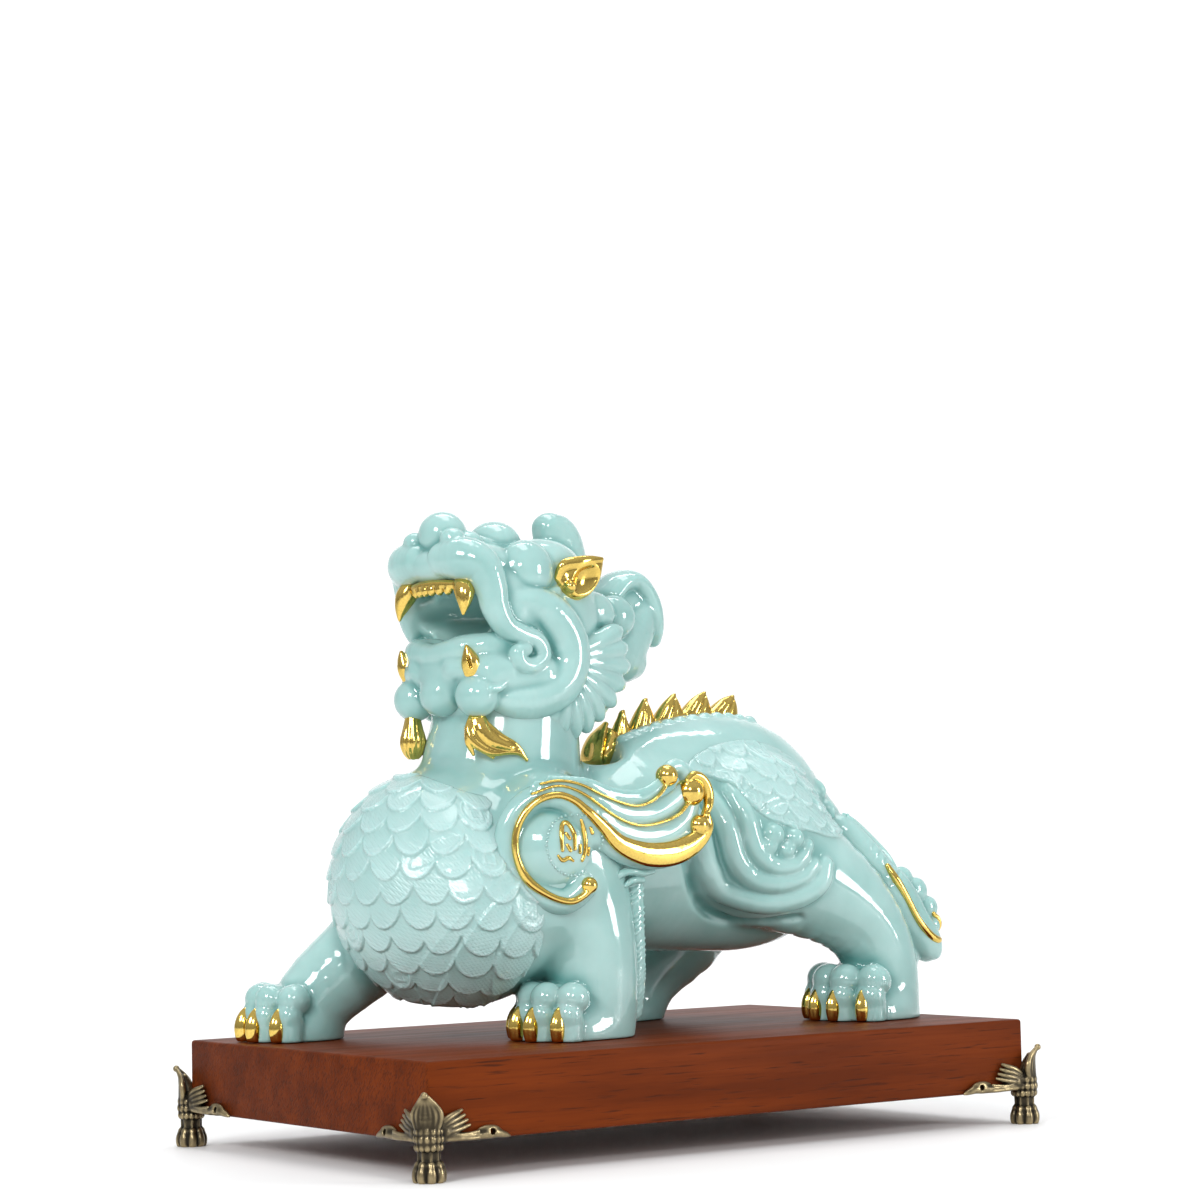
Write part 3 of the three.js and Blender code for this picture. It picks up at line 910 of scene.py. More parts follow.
@dataclass(frozen=True)
class AntiqueBrass:
    """Antiqued brass, dark in the hollows and bright where it is worn."""

    worn: tuple = (0.35, 0.275, 0.15, 1)
    aged: tuple = (0.06, 0.048, 0.03, 1)
    soot: tuple = (0.02, 0.017, 0.012, 1)

    def build(self) -> Material:
        """Makes the material.

        Returns:
            The finished material.
        """
        material, nodes, shader = new_material(Slot.BRASS.value)
        broad, fine = drift(nodes, 220.0, 1800.0)
        hollow = nodes.attribute("hollow")
        ridge = nodes.attribute("ridge")
        rubbed = nodes.math("MULTIPLY", nodes.spread(ridge, 0.15, 0.75, 0, 1),
                            nodes.spread(broad, 0.3, 0.6, 0.4, 1))
        base = nodes.mix(rubbed, self.aged, self.worn)
        base = nodes.mix(nodes.spread(hollow, 0.05, 0.6, 0, 1), base, self.soot)
        height = nodes.math("ADD", nodes.math("MULTIPLY", fine, 0.4), broad)
        nodes.fill(shader, {
            "Base Color": base,
            "Roughness": nodes.spread(hollow, 0.0, 0.6, 0.3, 0.6),
            "Normal": nodes.bump(height, 0.3, 0.0004),
            "Metallic": 0.9,
        })
        return material


@dataclass
class Finishes:
    """The four finishes, built once and shared by the pieces."""

    jade: Material = field(default_factory=lambda: JadeResin().build())
    gilding: Material = field(default_factory=lambda: Gilding().build())
    wood: Material = field(default_factory=lambda: StainedWood().build())
    brass: Material = field(default_factory=lambda: AntiqueBrass().build())


@dataclass(frozen=True)
class Paw:
    """One paw: a pad with four round toes, each with a gilded claw before it."""

    name: str
    middle: tuple[float, float]
    heading: float
    spread: float
    length: float
    toes: int = 4

    def at(self, ahead: float, aside: float, up: float) -> Point:
        """A point of the paw, from its middle, ahead and to its side.

        Args:
            ahead: How far ahead of the middle.
            aside: How far to its side.
            up: The height.

        Returns:
            The place in the figure.
        """
        turn = math.radians(self.heading)
        return (
            self.middle[0] + ahead * math.cos(turn) - aside * math.sin(turn),
            self.middle[1] + ahead * math.sin(turn) + aside * math.cos(turn),
            up,
        )

    def toe_places(self) -> list[tuple[float, float]]:
        """How far ahead and aside each claw stands on the paw's rounded front.

        Returns:
            One pair for each toe.
        """
        half_wide = 0.68 * self.spread
        places = []
        for toe in range(self.toes):
            aside = (toe / (self.toes - 1) - 0.5) * self.spread
            places.append((0.5 * self.length * math.sqrt(1 - (aside / half_wide) ** 2), aside))
        return places

    def forms(self) -> list[Form]:
        """The pad and the toes, each with a round knuckle above and a smaller one over the claw.

        Returns:
            The forms to add.
        """
        wide = 0.22 * self.spread
        forms: list[Form] = [
            Ball(self.at(-2, 0, 3), (0.46 * self.length, 0.62 * self.spread, 18), 6, (0, 0, self.heading))
        ]
        for ahead, aside in self.toe_places():
            forms += [
                Limb([[*self.at(0.3 * ahead - 4, 0.6 * aside, 21), 0.8 * wide],
                      [*self.at(ahead - 11, 0.96 * aside, 20), 0.95 * wide]], 1.6, 4),
                Ball(self.at(ahead - 9.5, 0.97 * aside, 20.5), (wide, wide, wide), 1.0,
                     (0, 0, self.heading)),
                Ball(self.at(ahead - 6.5, aside, 12.5), (0.86 * wide, 0.92 * wide, 0.95 * wide), 0.8,
                     (0, 0, self.heading)),
                Limb([[*self.at(ahead - 7.5, aside, 9), 0.86 * wide],
                      [*self.at(ahead - 7, aside, -2), 0.86 * wide]], 1.0, 1),
            ]
        return forms


PAWS = (
    Paw("claws_left_front", (-58, -43), 180, 36, 48),
    Paw("claws_right_front", (-148, 67), 176, 36, 47),
    Paw("claws_left_hind", (131, -43), 182, 40, 52),
    Paw("claws_right_hind", (36, 56), 180, 36, 46),
)


@dataclass
class Body:
    """The trunk, neck, chest, legs and paws, carved from one block."""

    cell: float = 1.25
    low: Point = (-182.0, -78.0, -3.0)
    high: Point = (178.0, 100.0, 182.0)
    chest: tuple[Ball, Ball] = (
        Ball((-95.0, 6.0, 76.0), (55.5, 54.0, 58.0), 9.0),
        Ball((-85.0, -2.0, 64.0), (52.0, 53.0, 46.0), 12.0),
    )
    clay: Clay = field(init=False)

    def shape(self) -> None:
        """Presses the main masses, the legs and the paws together."""
        self.clay = Clay(self.low, self.high, self.cell)
        self.clay.add(
            Limb([[-70, 6, 90, 46, 50], [-24, 6, 84, 40, 48], [-6, 6, 84, 41, 49], [12, 6, 92, 52, 50],
                  [34, 6, 96, 58, 49], [55, 6, 101, 59, 48], [78, 6, 104, 57, 47], [94, 6, 103, 48, 43],
                  [107, 4, 101, 37, 35], [117, 2, 99, 22, 22]], 12),
            Ball((66, 3, 77), (44, 36, 38), 12),
            Ball((90, 0, 72), (46, 32, 33.5), 12),
            Limb([[-62, 6, 92, 44, 43], [-60, 6, 126, 42, 38], [-57, 6, 148, 39, 35], [-57, 6, 164, 38, 34],
                  [-62, 6, 196, 42, 34]], 10, ceiling=176),
        )
        for side in SIDES:
            self.clay.add(
                Ball((-58, MIDDLE_Y + side * 40, 88), (38, 28, 42), 8),
                Ball((72, MIDDLE_Y + side * 36, 96), (42, 28, 42), 7),
            )
        self.clay.add(
            Limb([[-50, -40, 84, 30, 22], [-41, -43, 48, 23, 21], [-40, -44, 20, 22, 20],
                  [-42, -44, -3, 21, 19]], 8),
            Limb([[-84, 42, 78, 30, 22], [-108, 52, 46, 24, 21], [-136, 62, 20, 20, 19],
                  [-142, 65, -3, 19, 18]], 8),
            Limb([[82, -36, 84, 36, 24], [124, -40, 60, 25, 22], [143, -43, 34, 20, 20],
                  [144, -44, -3, 21, 20]], 8),
            Limb([[80, 44, 88, 34, 24], [90, 50, 52, 26, 21], [62, 54, 22, 19, 18], [50, 56, -3, 19, 18]],
                 8),
            Limb([[96, 4, 116, 24, 22], [114, 0, 110, 19, 18], [130, -12, 100, 15, 13]], 8),
            *self.chest,
        )
        self.clay.cut(Ball((-4, MIDDLE_Y, 143), (10, 22, 15), 7))
        for paw in PAWS:
            self.clay.add(*paw.forms())

    def flames(self, side: int) -> None:
        """Rolls the flame-like ridges that sweep down each haunch and curl up at its lower edge.

        Args:
            side: LEFT or RIGHT.
        """
        ridges = (
            ((22, 124, 4), (22, 113, 6.5), (27, 99, 7.5), (32, 82, 7.5), (44, 68, 7), (62, 62, 6.5),
             (80, 64.5, 6.5), (92, 72, 6), (96, 81, 4.5)),
            ((33, 124, 4), (38, 111, 6), (42, 95, 6.2), (45, 85, 6), (53, 75, 5.6), (66, 71.5, 5.4),
             (80, 74.5, 5), (88, 81, 4)),
            ((46, 121, 4), (50, 106, 5.6), (53, 93, 5.6), (57, 85.5, 5.2), (65, 80.5, 4.8), (74.5, 81, 4.6),
             (82, 86, 4)),
        )
        stretches = []
        for ridge in ridges:
            path = smooth_path(ridge, 4)
            start = np.stack([path[:, 0], np.full(len(path), MIDDLE_Y + side * 86), path[:, 1]], axis=1)
            on, normal = self.clay.settle(start, np.array([0.0, -side, 0.0]), 70)
            on = on - normal * (path[:, 2:3] * 0.3)
            stretches.append([[*p, r] for p, r in zip(on, path[:, 2])])
        for x, z, radius in ((64, 97, 6), (76, 95, 5.5), (61, 91, 4.5), (84, 91, 4), (71, 89, 4.5)):
            on, normal = self.clay.settle([[x, MIDDLE_Y + side * 86, z]], [0, -side, 0], 70)
            self.clay.add(Ball(tuple(on[0] - normal[0] * 0.2 * radius), (radius, radius, radius), 1.4))
        for stations in stretches:
            self.clay.add(Limb(stations, 1.8, 1))
        groove = [[12, 112, 1.6], [16, 98, 2.2], [20, 82, 2.6], [30, 66, 3], [46, 56, 3.2], [66, 52, 3],
                  [84, 54, 2.4]]
        path = smooth_path(groove, 4)
        start = np.stack([path[:, 0], np.full(len(path), MIDDLE_Y + side * 86), path[:, 1]], axis=1)
        on, _ = self.clay.settle(start, np.array([0.0, -side, 0.0]), 70)
        self.clay.cut(Limb([[*p, r] for p, r in zip(on, path[:, 2])], 3, 1))

    def spine(self) -> None:
        """Sets the small lumps along the spine and the raised plates over the rump."""
        for x, z, aside in smooth_path([[10, 140, 2], [24, 147, 3], [46, 153, 4], [70, 157, 4],
                                        [92, 155, 4]], 3):
            for side in SIDES:
                on, normal = self.clay.settle([[x, MIDDLE_Y + side * (7 + aside), z + 30]], [0, 0, -1], 60)
                self.clay.add(Ball(tuple(on[0] - normal[0] * 1.6), (4.2, 3.6, 3.4), 1.2))
        for x, y, z, lean in ((107, -8, 138, 38), (116, -13, 130, 48), (122, -18, 120, 60),
                              (125, -22, 109, 70)):
            self.clay.add(Ball((x, y, z), (7.5, 10.5, 5), 0.6, (0, lean, 0)))

    def build(self, finishes: Finishes) -> None:
        """Shapes, carves and dresses the body.

        Args:
            finishes: The four finishes.
        """
        self.shape()
        for side in SIDES:
            self.flames(side)
        self.spine()
        self.clay.cut_below(0.0)
        clay_piece("body", self.clay, on_figure, finishes.jade, 8.0, 0.55)


@dataclass
class Head:
    """The head with its open mouth, horn, mane and nape curl, carved in its own turned frame."""

    cell: float = 0.9
    low: Point = (-136.0, -52.0, -54.0)
    high: Point = (56.0, 52.0, 80.0)
    clay: Clay = field(init=False)

    def skull(self) -> None:
        """Presses the main masses and scoops the mouth out."""
        self.clay = Clay(self.low, self.high, self.cell)
        self.clay.add(
            Ball((-22, 0, 18), (48, 37, 36), 3),
            Ball((12, 0, 44), (30, 29, 13), 7),
            Ball((-30, 0, 44), (28, 27, 16), 8),
            Ball((8, 0, -13), (29, 29, 16), 6),
        )
        for side in HEAD_SIDES:
            self.clay.add(
                Ball((-22, side * 19, 44), (22, 14, 14), 6),
                Ball((4, side * 27, 24), (20, 9, 18), 4),
                Limb([[20, side * 25, -13, 10, 10], [-8, side * 32, -12, 12, 10]], 5),
            )
        self.clay.cut(Ball((27, 0, 18), (33, 25.5, 14), 3), Ball((36, 0, 10), (20, 44, 10.5), 3))

    def muzzle(self) -> None:
        """Adds the nose, the lips that roll back into the cheek curls, the brow boss and the eyes."""
        self.clay.add(Limb([[22, 0, 53, 9, 9], [8, 0, 51, 9, 12], [-10, 0, 50, 9, 14]], 4))
        for side in HEAD_SIDES:
            self.clay.add(
                Ball((-5.5, side * 25.5, 40.5), (15.5, 12.5, 15.8), 0.9),
                Limb([[9, side * 30, 34, 2.4], [1, side * 33.5, 29.5, 3.0], [-9, side * 34.5, 28, 3.0],
                      [-19, side * 34, 31, 2.2]], 1.0),
                Limb([[33.5, side * 10, 46, 9], [30.5, side * 21, 45.5, 11], [25, side * 27, 41.5, 10],
                      [21.8, side * 30.5, 31, 8.2], [20.5, side * 32, 21, 7.0], [15.4, side * 33.5, 12, 6],
                      [7, side * 35, 8, 5.4], [-2, side * 36, 5, 5.2], [-5.5, side * 36.5, -2, 5],
                      [0.5, side * 37, -7.4, 4.8], [8.5, side * 37, -6.6, 4.6], [11, side * 37, -1.4, 4.4],
                      [6, side * 37.5, 0.8, 3.6]], 0.8),
                Ball((32, side * 14, 56), (6.5, 6.5, 5.5), 1.2),
                Ball((18, side * 9.5, 55), (8, 7, 6), 1.5),
            )
        self.clay.add(Ball((-7.5, 0, 56), (13.5, 14, 12), 1.0), Ball((26.4, 0, 59), (12.3, 12.3, 12), 1.0))

    def jaw(self) -> None:
        """Adds the lower lip, the chin lumps and the cheek rings."""
        self.clay.add(
            Limb([[9, -28, 4.5, 5], [19, -26, 3, 6.4], [28.5, -18, 1.6, 6.6], [32, -8, 0.4, 5.6],
                  [32.5, 0, -0.4, 5.2], [32, 8, 0.4, 5.6], [28.5, 18, 1.6, 6.6], [19, 26, 3, 6.4],
                  [9, 28, 4.5, 5]], 2),
            Ball((21, 0, -8), (13.5, 25, 11), 4),
            Ball((28.5, 0, -20.5), (11, 12, 11), 2.5),
            Ball((26, 0, -7.5), (9.8, 20, 8.5), 4),
        )
        for side in HEAD_SIDES:
            self.clay.add(
                Ball((23, side * 13, -1), (11, 13, 9.5), 3),
                Ball((14, side * 26, -7), (13, 8.5, 9), 4),
                Limb([[31, side * 14, -8, 6], [25, side * 24, -9, 7], [14, side * 31, -8, 6]], 3),
                Ball((26.2, side * 23.5, -22), (10.8, 10.8, 10.8), 2.0),
                Limb([[6, side * 31, 25, 6], [-3, side * 32, 24.5, 8.5], [-14, side * 33, 18.5, 11],
                      [-23, side * 33.5, 7.5, 12], [-24.5, side * 33.5, -5, 12.2],
                      [-18.5, side * 33, -16, 12], [-6, side * 31.5, -22.5, 11.2],
                      [6, side * 29.5, -24, 9.5], [15, side * 26.5, -22.5, 7]], 1.5),
                Ball((-1, side * 30, 0), (18, 6.5, 18), 3),
                Ball((4, side * 31, 20), (13, 6, 11), 3),
                Limb([[13, side * 33, -12, 2.2], [20, side * 33.5, -18, 2.4], [26, side * 33.5, -19, 2.0]],
                     1.0),
            )

    def horn(self) -> None:
        """Adds the blunt horn on the crown, hooked forward."""
        self.clay.add(
            Limb([[-51, 0, 36, 17, 15], [-52.5, 0, 50, 15.5, 12], [-51, 0, 60, 13.5, 10.5],
                  [-46.5, 0, 66, 8.5, 8]], 3),
            Ball((-44, 0, 66.5), (7.5, 7.5, 7), 3),
        )
        self.clay.cut(Ball((-31, 0, 62), (6, 12, 9), 3))

    def mane(self) -> None:
        """Adds the fanned locks behind the cheeks, the nape and the curl that stands up behind."""
        self.clay.add(
            Limb([[-44, 0, 14, 26, 24], [-72, 0, 10, 20, 18], [-90, 0, 3, 16, 14], [-100, 0, -1, 10, 10]],
                 5),
            Limb([[-80, 0, 6, 16, 14], [-98, 0, 12, 15, 13], [-106, 0, 24, 11, 11]], 2.5),
            Limb([[-84, 0, 33, 6, 12], [-91, 0, 39.5, 6, 13], [-100, 0, 41, 6.5, 13],
                  [-108, 0, 35, 7, 12.5], [-113.5, 0, 26, 7, 11.5], [-116.5, 0, 17, 6, 9],
                  [-118.5, 0, 11.5, 4.5, 5]], 2, 5),
            Limb([[-88, 0, 30, 10, 9], [-100, 0, 30, 10, 9], [-106, 0, 20, 9, 8]], 2),
        )
        tips = ((-67, 13), (-70.5, 4), (-72, -5.5), (-68, -15.5), (-61, -24.5), (-51.5, -32), (-42, -38),
                (-32, -41.5), (-21, -41.5), (-12, -39))
        for side in HEAD_SIDES:
            self.clay.add(
                Ball((-56, side * 19, 21.5), (13.5, 11, 11.5), 1.2),
                Ball((-75, side * 15, 20.5), (13, 11, 11.5), 1.2),
                Ball((-41, side * 22, -11), (29, 8, 26), 2),
            )
            for forward, up in tips:
                root = (-22 + 0.22 * (forward + 22), -4 + 0.22 * (up + 4))
                aside = side * (33 - 0.055 * abs(forward + 22))
                self.clay.add(
                    Limb([[*self.between(root, (forward, up), 0.15, aside * 0.96), 5.5, 6],
                          [*self.between(root, (forward, up), 0.5, aside), 5.4, 5.5],
                          [*self.between(root, (forward, up), 0.8, aside * 0.97), 5.6, 4.6],
                          [*self.between(root, (forward, up), 0.95, aside * 0.93), 3.6, 3.4]], 0.5)
                )

    def between(self, root: tuple[float, float], tip: tuple[float, float], share: float,
                aside: float) -> Point:
        """A place on a lock, between its root and its tip."""
        return (root[0] + share * (tip[0] - root[0]), aside, root[1] + share * (tip[1] - root[1]))

    def build(self, finishes: Finishes) -> None:
        """Shapes and dresses the head.

        Args:
            finishes: The four finishes.
        """
        self.skull()
        self.jaw()
        self.muzzle()
        self.horn()
        self.mane()
        clay_piece("head", self.clay, in_head, finishes.jade, 5.0, 0.8)


@dataclass
class Wing:
    """One carved wing: the round boss with its coin, the streaming strands and all their gilded edges."""

    side: int
    cell: float = 0.85
    trim_cell: float = 0.62
    coin_middle: tuple[float, float] = (-64.5, 94.0)
    bead_ring: float = 14.6
    beads: int = 46
    clay: Clay = field(init=False)
    rim: tuple[tuple[float, ...], ...] = (
        (-57.5, 74, 1.8, 1.9), (-62, 69.5, 1.8, 1.9), (-68, 67, 1.8, 1.9), (-77, 70, 1.8, 1.9),
        (-86.5, 77.5, 2.4, 2.2), (-91.5, 88, 1.8, 1.9), (-92, 99, 1.8, 1.9), (-88.5, 108.5, 1.8, 1.9),
        (-82, 115.5, 1.8, 1.9), (-73, 118.3, 1.8, 1.9), (-65, 115.5, 1.9, 2), (-58.5, 109.7, 2.3, 2.2),
        (-50, 102.6, 3.2, 2.4), (-41.3, 94.8, 4.4, 2.6), (-31.5, 90.5, 5.4, 2.8), (-21, 88.4, 6.0, 3),
        (-9, 88.8, 6.2, 3), (1.5, 92, 5.8, 3), (9.5, 97, 4.6, 2.8), (13.4, 102, 3.2, 2.6),
        (12.6, 107, 2.2, 2.4),
    )

    def skin_y(self, x: float) -> float:
        """How far out the wing's face stands at a place along the body."""
        return MIDDLE_Y + self.side * (75 if x > -58 else 75 + 0.42 * (x + 58))

    def strand(self, points: Sequence[Sequence[float]], blend: float, flat: float = 0.5) -> Limb:
        """A strand of clay whose outermost line lies a given depth under the wing's face."""
        stations = [[x, self.skin_y(x) - self.side * (flat * r + sink), z, r, flat * r]
                    for x, z, r, sink in points]
        return Limb(stations, blend, 5)

    def carve(self) -> None:
        """Shapes the boss, the raised edge around it, the strands and the small hooks at their ends."""
        ends = sorted((MIDDLE_Y + self.side * 40, MIDDLE_Y + self.side * 80))
        self.clay = Clay((-104, ends[0], 56), (30, ends[1], 140), self.cell)
        self.clay.add(
            Ball((-67, MIDDLE_Y + self.side * 47, 92), (29, 22, 28), 2),
            self.strand([(x, z, 6.5, 1.2) for x, z, _, _ in self.rim[:13]], 2, 0.9),
            self.strand([(-50, 101, 8, 1.2), (-34, 92.5, 8.5, 1.2), (-20, 90, 9, 1.0), (-6, 91.5, 9, 1.0),
                         (4, 95.5, 8, 1.2), (9, 101, 7, 1.2)], 1.5),
            self.strand([(-78, 117.5, 4, 1.6), (-64, 116, 6, 0.8), (-50, 107, 7.5, 0.6),
                         (-36, 99, 7.5, 0.6), (-22, 96.5, 7.5, 0.6), (-8, 99, 7, 0.6), (2, 106, 6, 0.8),
                         (6, 114, 5.5, 1.2)], 1.8),
            self.strand([(-80, 122, 3.5, 2), (-64, 121, 4.5, 1.2), (-48, 113, 5.6, 0.8), (-34, 108, 6, 0.8),
                         (-20, 108, 6, 0.8), (-8, 112.5, 5.5, 0.8), (2, 119, 5, 1.2)], 1.8),
            self.strand([(-74, 125.5, 2.5, 2.4), (-58, 123, 3.6, 2), (-42, 117.5, 4.2, 1.6),
                         (-26, 116.5, 4.2, 1.4), (-14, 121.5, 4, 1.2), (-9, 128, 3.6, 1.4)], 1.5),
            self.strand([(-10, 128, 3.6, 0), (-5, 131.5, 3.8, 0), (1, 130.5, 3.8, 0.5), (4, 125, 3.4, 1.5),
                         (3, 119, 2.6, 3)], 0.8, 1.0),
            self.strand([(6, 103, 6, 0.6)] * 2, 0.8, 1.0),
            Ball((self.coin_middle[0], MIDDLE_Y + self.side * 48, 92), (25, 23.5, 25), 4),
        )

    def on_face(self, points: Sequence[tuple[float, float]]) -> tuple[np.ndarray, np.ndarray]:
        """Lays places given along the body and up on the wing's face."""
        start = [[x, MIDDLE_Y + self.side * 79, z] for x, z in points]
        return self.clay.settle(np.array(start, float), np.array([0.0, -self.side, 0.0]), 50)

    def line(self, points: Sequence[Sequence[float]], proud: float = 0.0) -> Limb:
        """A line of gilding on the wing's face, from places with a radius and a thickness.

        Args:
            points: Rows of x, z, radius and thickness.
            proud: How far it stands out of the face.

        Returns:
            The line as a limb.
        """
        path = smooth_path(points, 5)
        stations = [[x, self.skin_y(x) + self.side * (proud - 0.5 * thick), z, r, thick]
                    for x, z, r, thick in path]
        return Limb(stations, 0.6, 1)

    def trim(self) -> Clay:
        """The gilding: the hooked rim that widens into a band, two thin lines and the knobs at their ends.

        Returns:
            A block of its own.
        """
        ends = sorted((MIDDLE_Y + self.side * 46, MIDDLE_Y + self.side * 84))
        gold = Clay((-98, ends[0], 60), (26, ends[1], 138), self.trim_cell)
        middle = [(-84, 119, 0.65, 1.4), (-73, 122.6, 0.72, 1.5), (-64, 120.5, 0.72, 1.5),
                  (-53.3, 113.8, 0.72, 1.5), (-41, 106.6, 0.72, 1.5), (-28.5, 102.9, 0.72, 1.5),
                  (-15.7, 104.1, 0.79, 1.5), (-4.6, 107.8, 0.86, 1.6), (2, 113.5, 1, 1.8)]
        upper = [(-80, 123.8, 0.65, 1.2), (-72, 125.2, 0.72, 1.3), (-63, 123.6, 0.72, 1.3),
                 (-53.2, 119.1, 0.72, 1.3), (-40.8, 114.6, 0.72, 1.3), (-30.1, 112.4, 0.72, 1.3),
                 (-20.9, 114.4, 0.79, 1.4), (-14.4, 118.8, 0.86, 1.6), (-10.8, 124, 1, 1.8)]
        gold.add(self.line(self.rim, 1.0), self.line(middle, 0.3), self.line(upper, 0.1))
        for x, z, radius, inward in ((-58, 74.5, 4.2, 2.0), (8.6, 102.4, 5.4, 1.6), (5.5, 119, 7.6, 4.2),
                                     (-9.5, 127, 5.6, 2.6)):
            gold.add(Ball((x, self.skin_y(x) - self.side * inward, z), (radius, radius, radius), 0.8))
        gold.add(self.line([(1.5, 124.5, 1.4, 1.8), (6, 127.2, 2.2, 2.4), (11.5, 125, 2.6, 2.8),
                            (14.8, 119, 2.8, 3), (14.8, 112.5, 2.4, 2.8), (12.2, 107.5, 1.8, 2.4)], 0.2))
        for stroke in self.strokes():
            on, normal = self.on_face([(x, z) for x, z, _ in stroke])
            gold.add(Limb([[*(p + 0.1 * n), r] for p, n, (_, _, r) in zip(on, normal, stroke)], 0.4, 4))
        return gold

    def strokes(self) -> list[list[tuple[float, float, float]]]:
        """Rows of short shallow strokes that fill the coin.

        Returns:
            Strokes as rows of x, z and radius.
        """
        x, z = self.coin_middle[0], self.coin_middle[1] + 2
        arch = [(-7.4, -4.5, 0.9), (-7.2, 2, 1.2), (-5.6, 8, 1.2), (-2.6, 8.6, 1.2), (-0.4, 3, 1.2),
                (-0.8, -4, 0.9)]
        dots = [[(-4.6, 3.6, 0.9), (-3.2, 1.2, 1.0)], [(-4.8, -1.8, 0.9), (-3.4, -4.6, 1.0)]]
        curl = [(-9.4, -6.8, 0.7), (-7, -9.2, 1.1), (-4, -8, 1.1), (-1.2, -9.6, 0.7)]
        bow = [(3.2, 10.2, 0.8), (5.2, 5.4, 1.2), (6, -0.6, 1.3), (5.6, -5.4, 1.2), (4, -9.6, 0.8)]
        flecks = [[(8, 6.2, 0.8), (9, 3.6, 1.0)], [(2.6, -2, 0.8), (2.2, -5.6, 0.9)],
                  [(8.6, -3.4, 0.8), (8, -6.8, 0.9)]]
        return [[(x + ahead, z + up, r) for ahead, up, r in stroke]
                for stroke in (arch, *dots, curl, bow, *flecks)]

    def set_beads(self, finishes: Finishes, word: str) -> None:
        """Sets the ring of tiny beads round the coin.

        Args:
            finishes: The four finishes.
            word: The side, for the name of the piece.
        """
        bpy.ops.object.select_all(action="DESELECT")
        bpy.ops.mesh.primitive_uv_sphere_add(segments=8, ring_count=5, radius=0.75)
        bead = bpy.context.object
        own = np.array([v.co for v in bead.data.vertices])
        own_faces = [list(p.vertices) for p in bead.data.polygons]
        bpy.data.objects.remove(bead)
        turns = np.linspace(0, 2 * math.pi, self.beads, endpoint=False)
        across = self.coin_middle[0] + self.bead_ring * np.cos(turns)
        up = self.coin_middle[1] + self.bead_ring * np.sin(turns)
        on, _ = self.on_face(list(zip(across, up)))
        vertices = np.concatenate([own + place for place in on])
        faces = [[v + number * len(own) for v in face]
                 for number in range(self.beads) for face in own_faces]
        still = np.zeros(len(vertices))
        mesh_piece(f"coin_beads_{word}", on_figure(vertices), faces, finishes.jade,
                   hollow=still, frost=still)

    def build(self, finishes: Finishes) -> None:
        """Carves the wing, lays its gilding and sets its beads.

        Args:
            finishes: The four finishes.
        """
        word = "left" if self.side == LEFT else "right"
        self.carve()
        clay_piece(f"wing_{word}", self.clay, on_figure, finishes.jade, 4.0)
        clay_piece(f"wing_trim_{word}", self.trim(), on_figure, finishes.gilding, 2.0)
        self.set_beads(finishes, word)


@dataclass
class Tail:
    """The tail's twisted strand and its plume with coin lumps, edged with one gilded line."""

    cell: float = 0.75
    trim_cell: float = 0.6
    grooves: int = 9
    comb: int = 13

    def build(self, finishes: Finishes) -> None:
        """Carves the plume and lays the gilding along its edge.

        Args:
            finishes: The four finishes.
        """
        clay = Clay((104, -68, 16), (189, 12, 128), self.cell)
        clay.add(
            Limb([[112, 0, 106, 17, 16], [130, -14, 98, 15, 13], [145, -28, 79, 13, 11],
                  [156, -36, 58, 12, 10], [164, -40, 38, 9, 8], [167, -42, 26, 4, 4]], 4),
            Ball((164, -44, 54), (11, 8, 30), 2, (0, -30, 0)),
            Ball((172, -47, 43), (9, 6, 17), 2, (0, -38, 0)),
            Limb([[127, -27, 104, 3, 3], [133, -31, 99, 6.5, 6], [139, -35, 91, 7.5, 6.5],
                  [146, -39, 82, 7, 6.5], [152, -42, 74, 6, 6], [157, -46, 66, 4, 5]], 0.8),
            Limb([[134, -30, 106.5, 1.2], [139, -32, 102, 2.2], [147, -36, 93, 2.4], [155, -39, 84, 2.2],
                  [160, -41, 76, 1.6]], 0.8),
        )
        for share in np.linspace(0, 1, self.grooves):
            x, z = 131 + 23 * share, 102 - 30 * share
            y = -32 - 11 * share
            clay.cut(Limb([[x - 7, y - 5.5, z - 5, 0.9], [x - 1, y - 6.8, z + 1, 1.1],
                           [x + 6, y - 3, z + 7, 0.9]], 0.6))
        for share in np.linspace(0.04, 0.96, self.comb):
            x, y, z = 135 + 24 * share, -31.5 - 10 * share, 105 - 28 * share
            clay.add(Limb([[x - 2.4, y - 1.8, z + 2.8, 0.8], [x - 1.9, y - 2.2, z, 1.2],
                           [x - 0.9, y - 2.2, z - 2.8, 0.8]], 0.3, 2))
        for x, y, z, r in ((167, -39, 72, 7.5), (175, -41, 66, 7.5), (182, -42, 57, 6.5),
                           (184, -43, 48, 5)):
            clay.add(Ball((x - 2, y, z - 1), (r, 4.5, r), 0.8, (0, -35, 0)))
        clay_piece("tail", clay, on_figure, finishes.jade, 5.0)
        gold = Clay((144, -66, 28), (189, -34, 84), self.trim_cell)
        edge = smooth_path([[149, 79, 1.6], [152, 72.5, 2.2], [158, 62, 1.9], [163, 53, 1.9], [168, 46, 2],
                            [175, 40.5, 2], [181.5, 39.5, 1.8], [185, 44, 1.6], [184.5, 50, 1.5],
                            [181, 53, 1.3]], 5)
        on, normal = clay.settle([[x, -66, z] for x, z, _ in edge], [0, 1, 0], 40)
        for _ in range(8):
            on[1:-1, 1] = (on[:-2, 1] + on[2:, 1] + 2 * on[1:-1, 1]) / 4
        gold.add(Limb([[*(p - 0.2 * n), r] for p, n, (_, _, r) in zip(on, normal, edge)], 0.3, 1))
        clay_piece("tail_trim", gold, on_figure, finishes.gilding, 2.0)


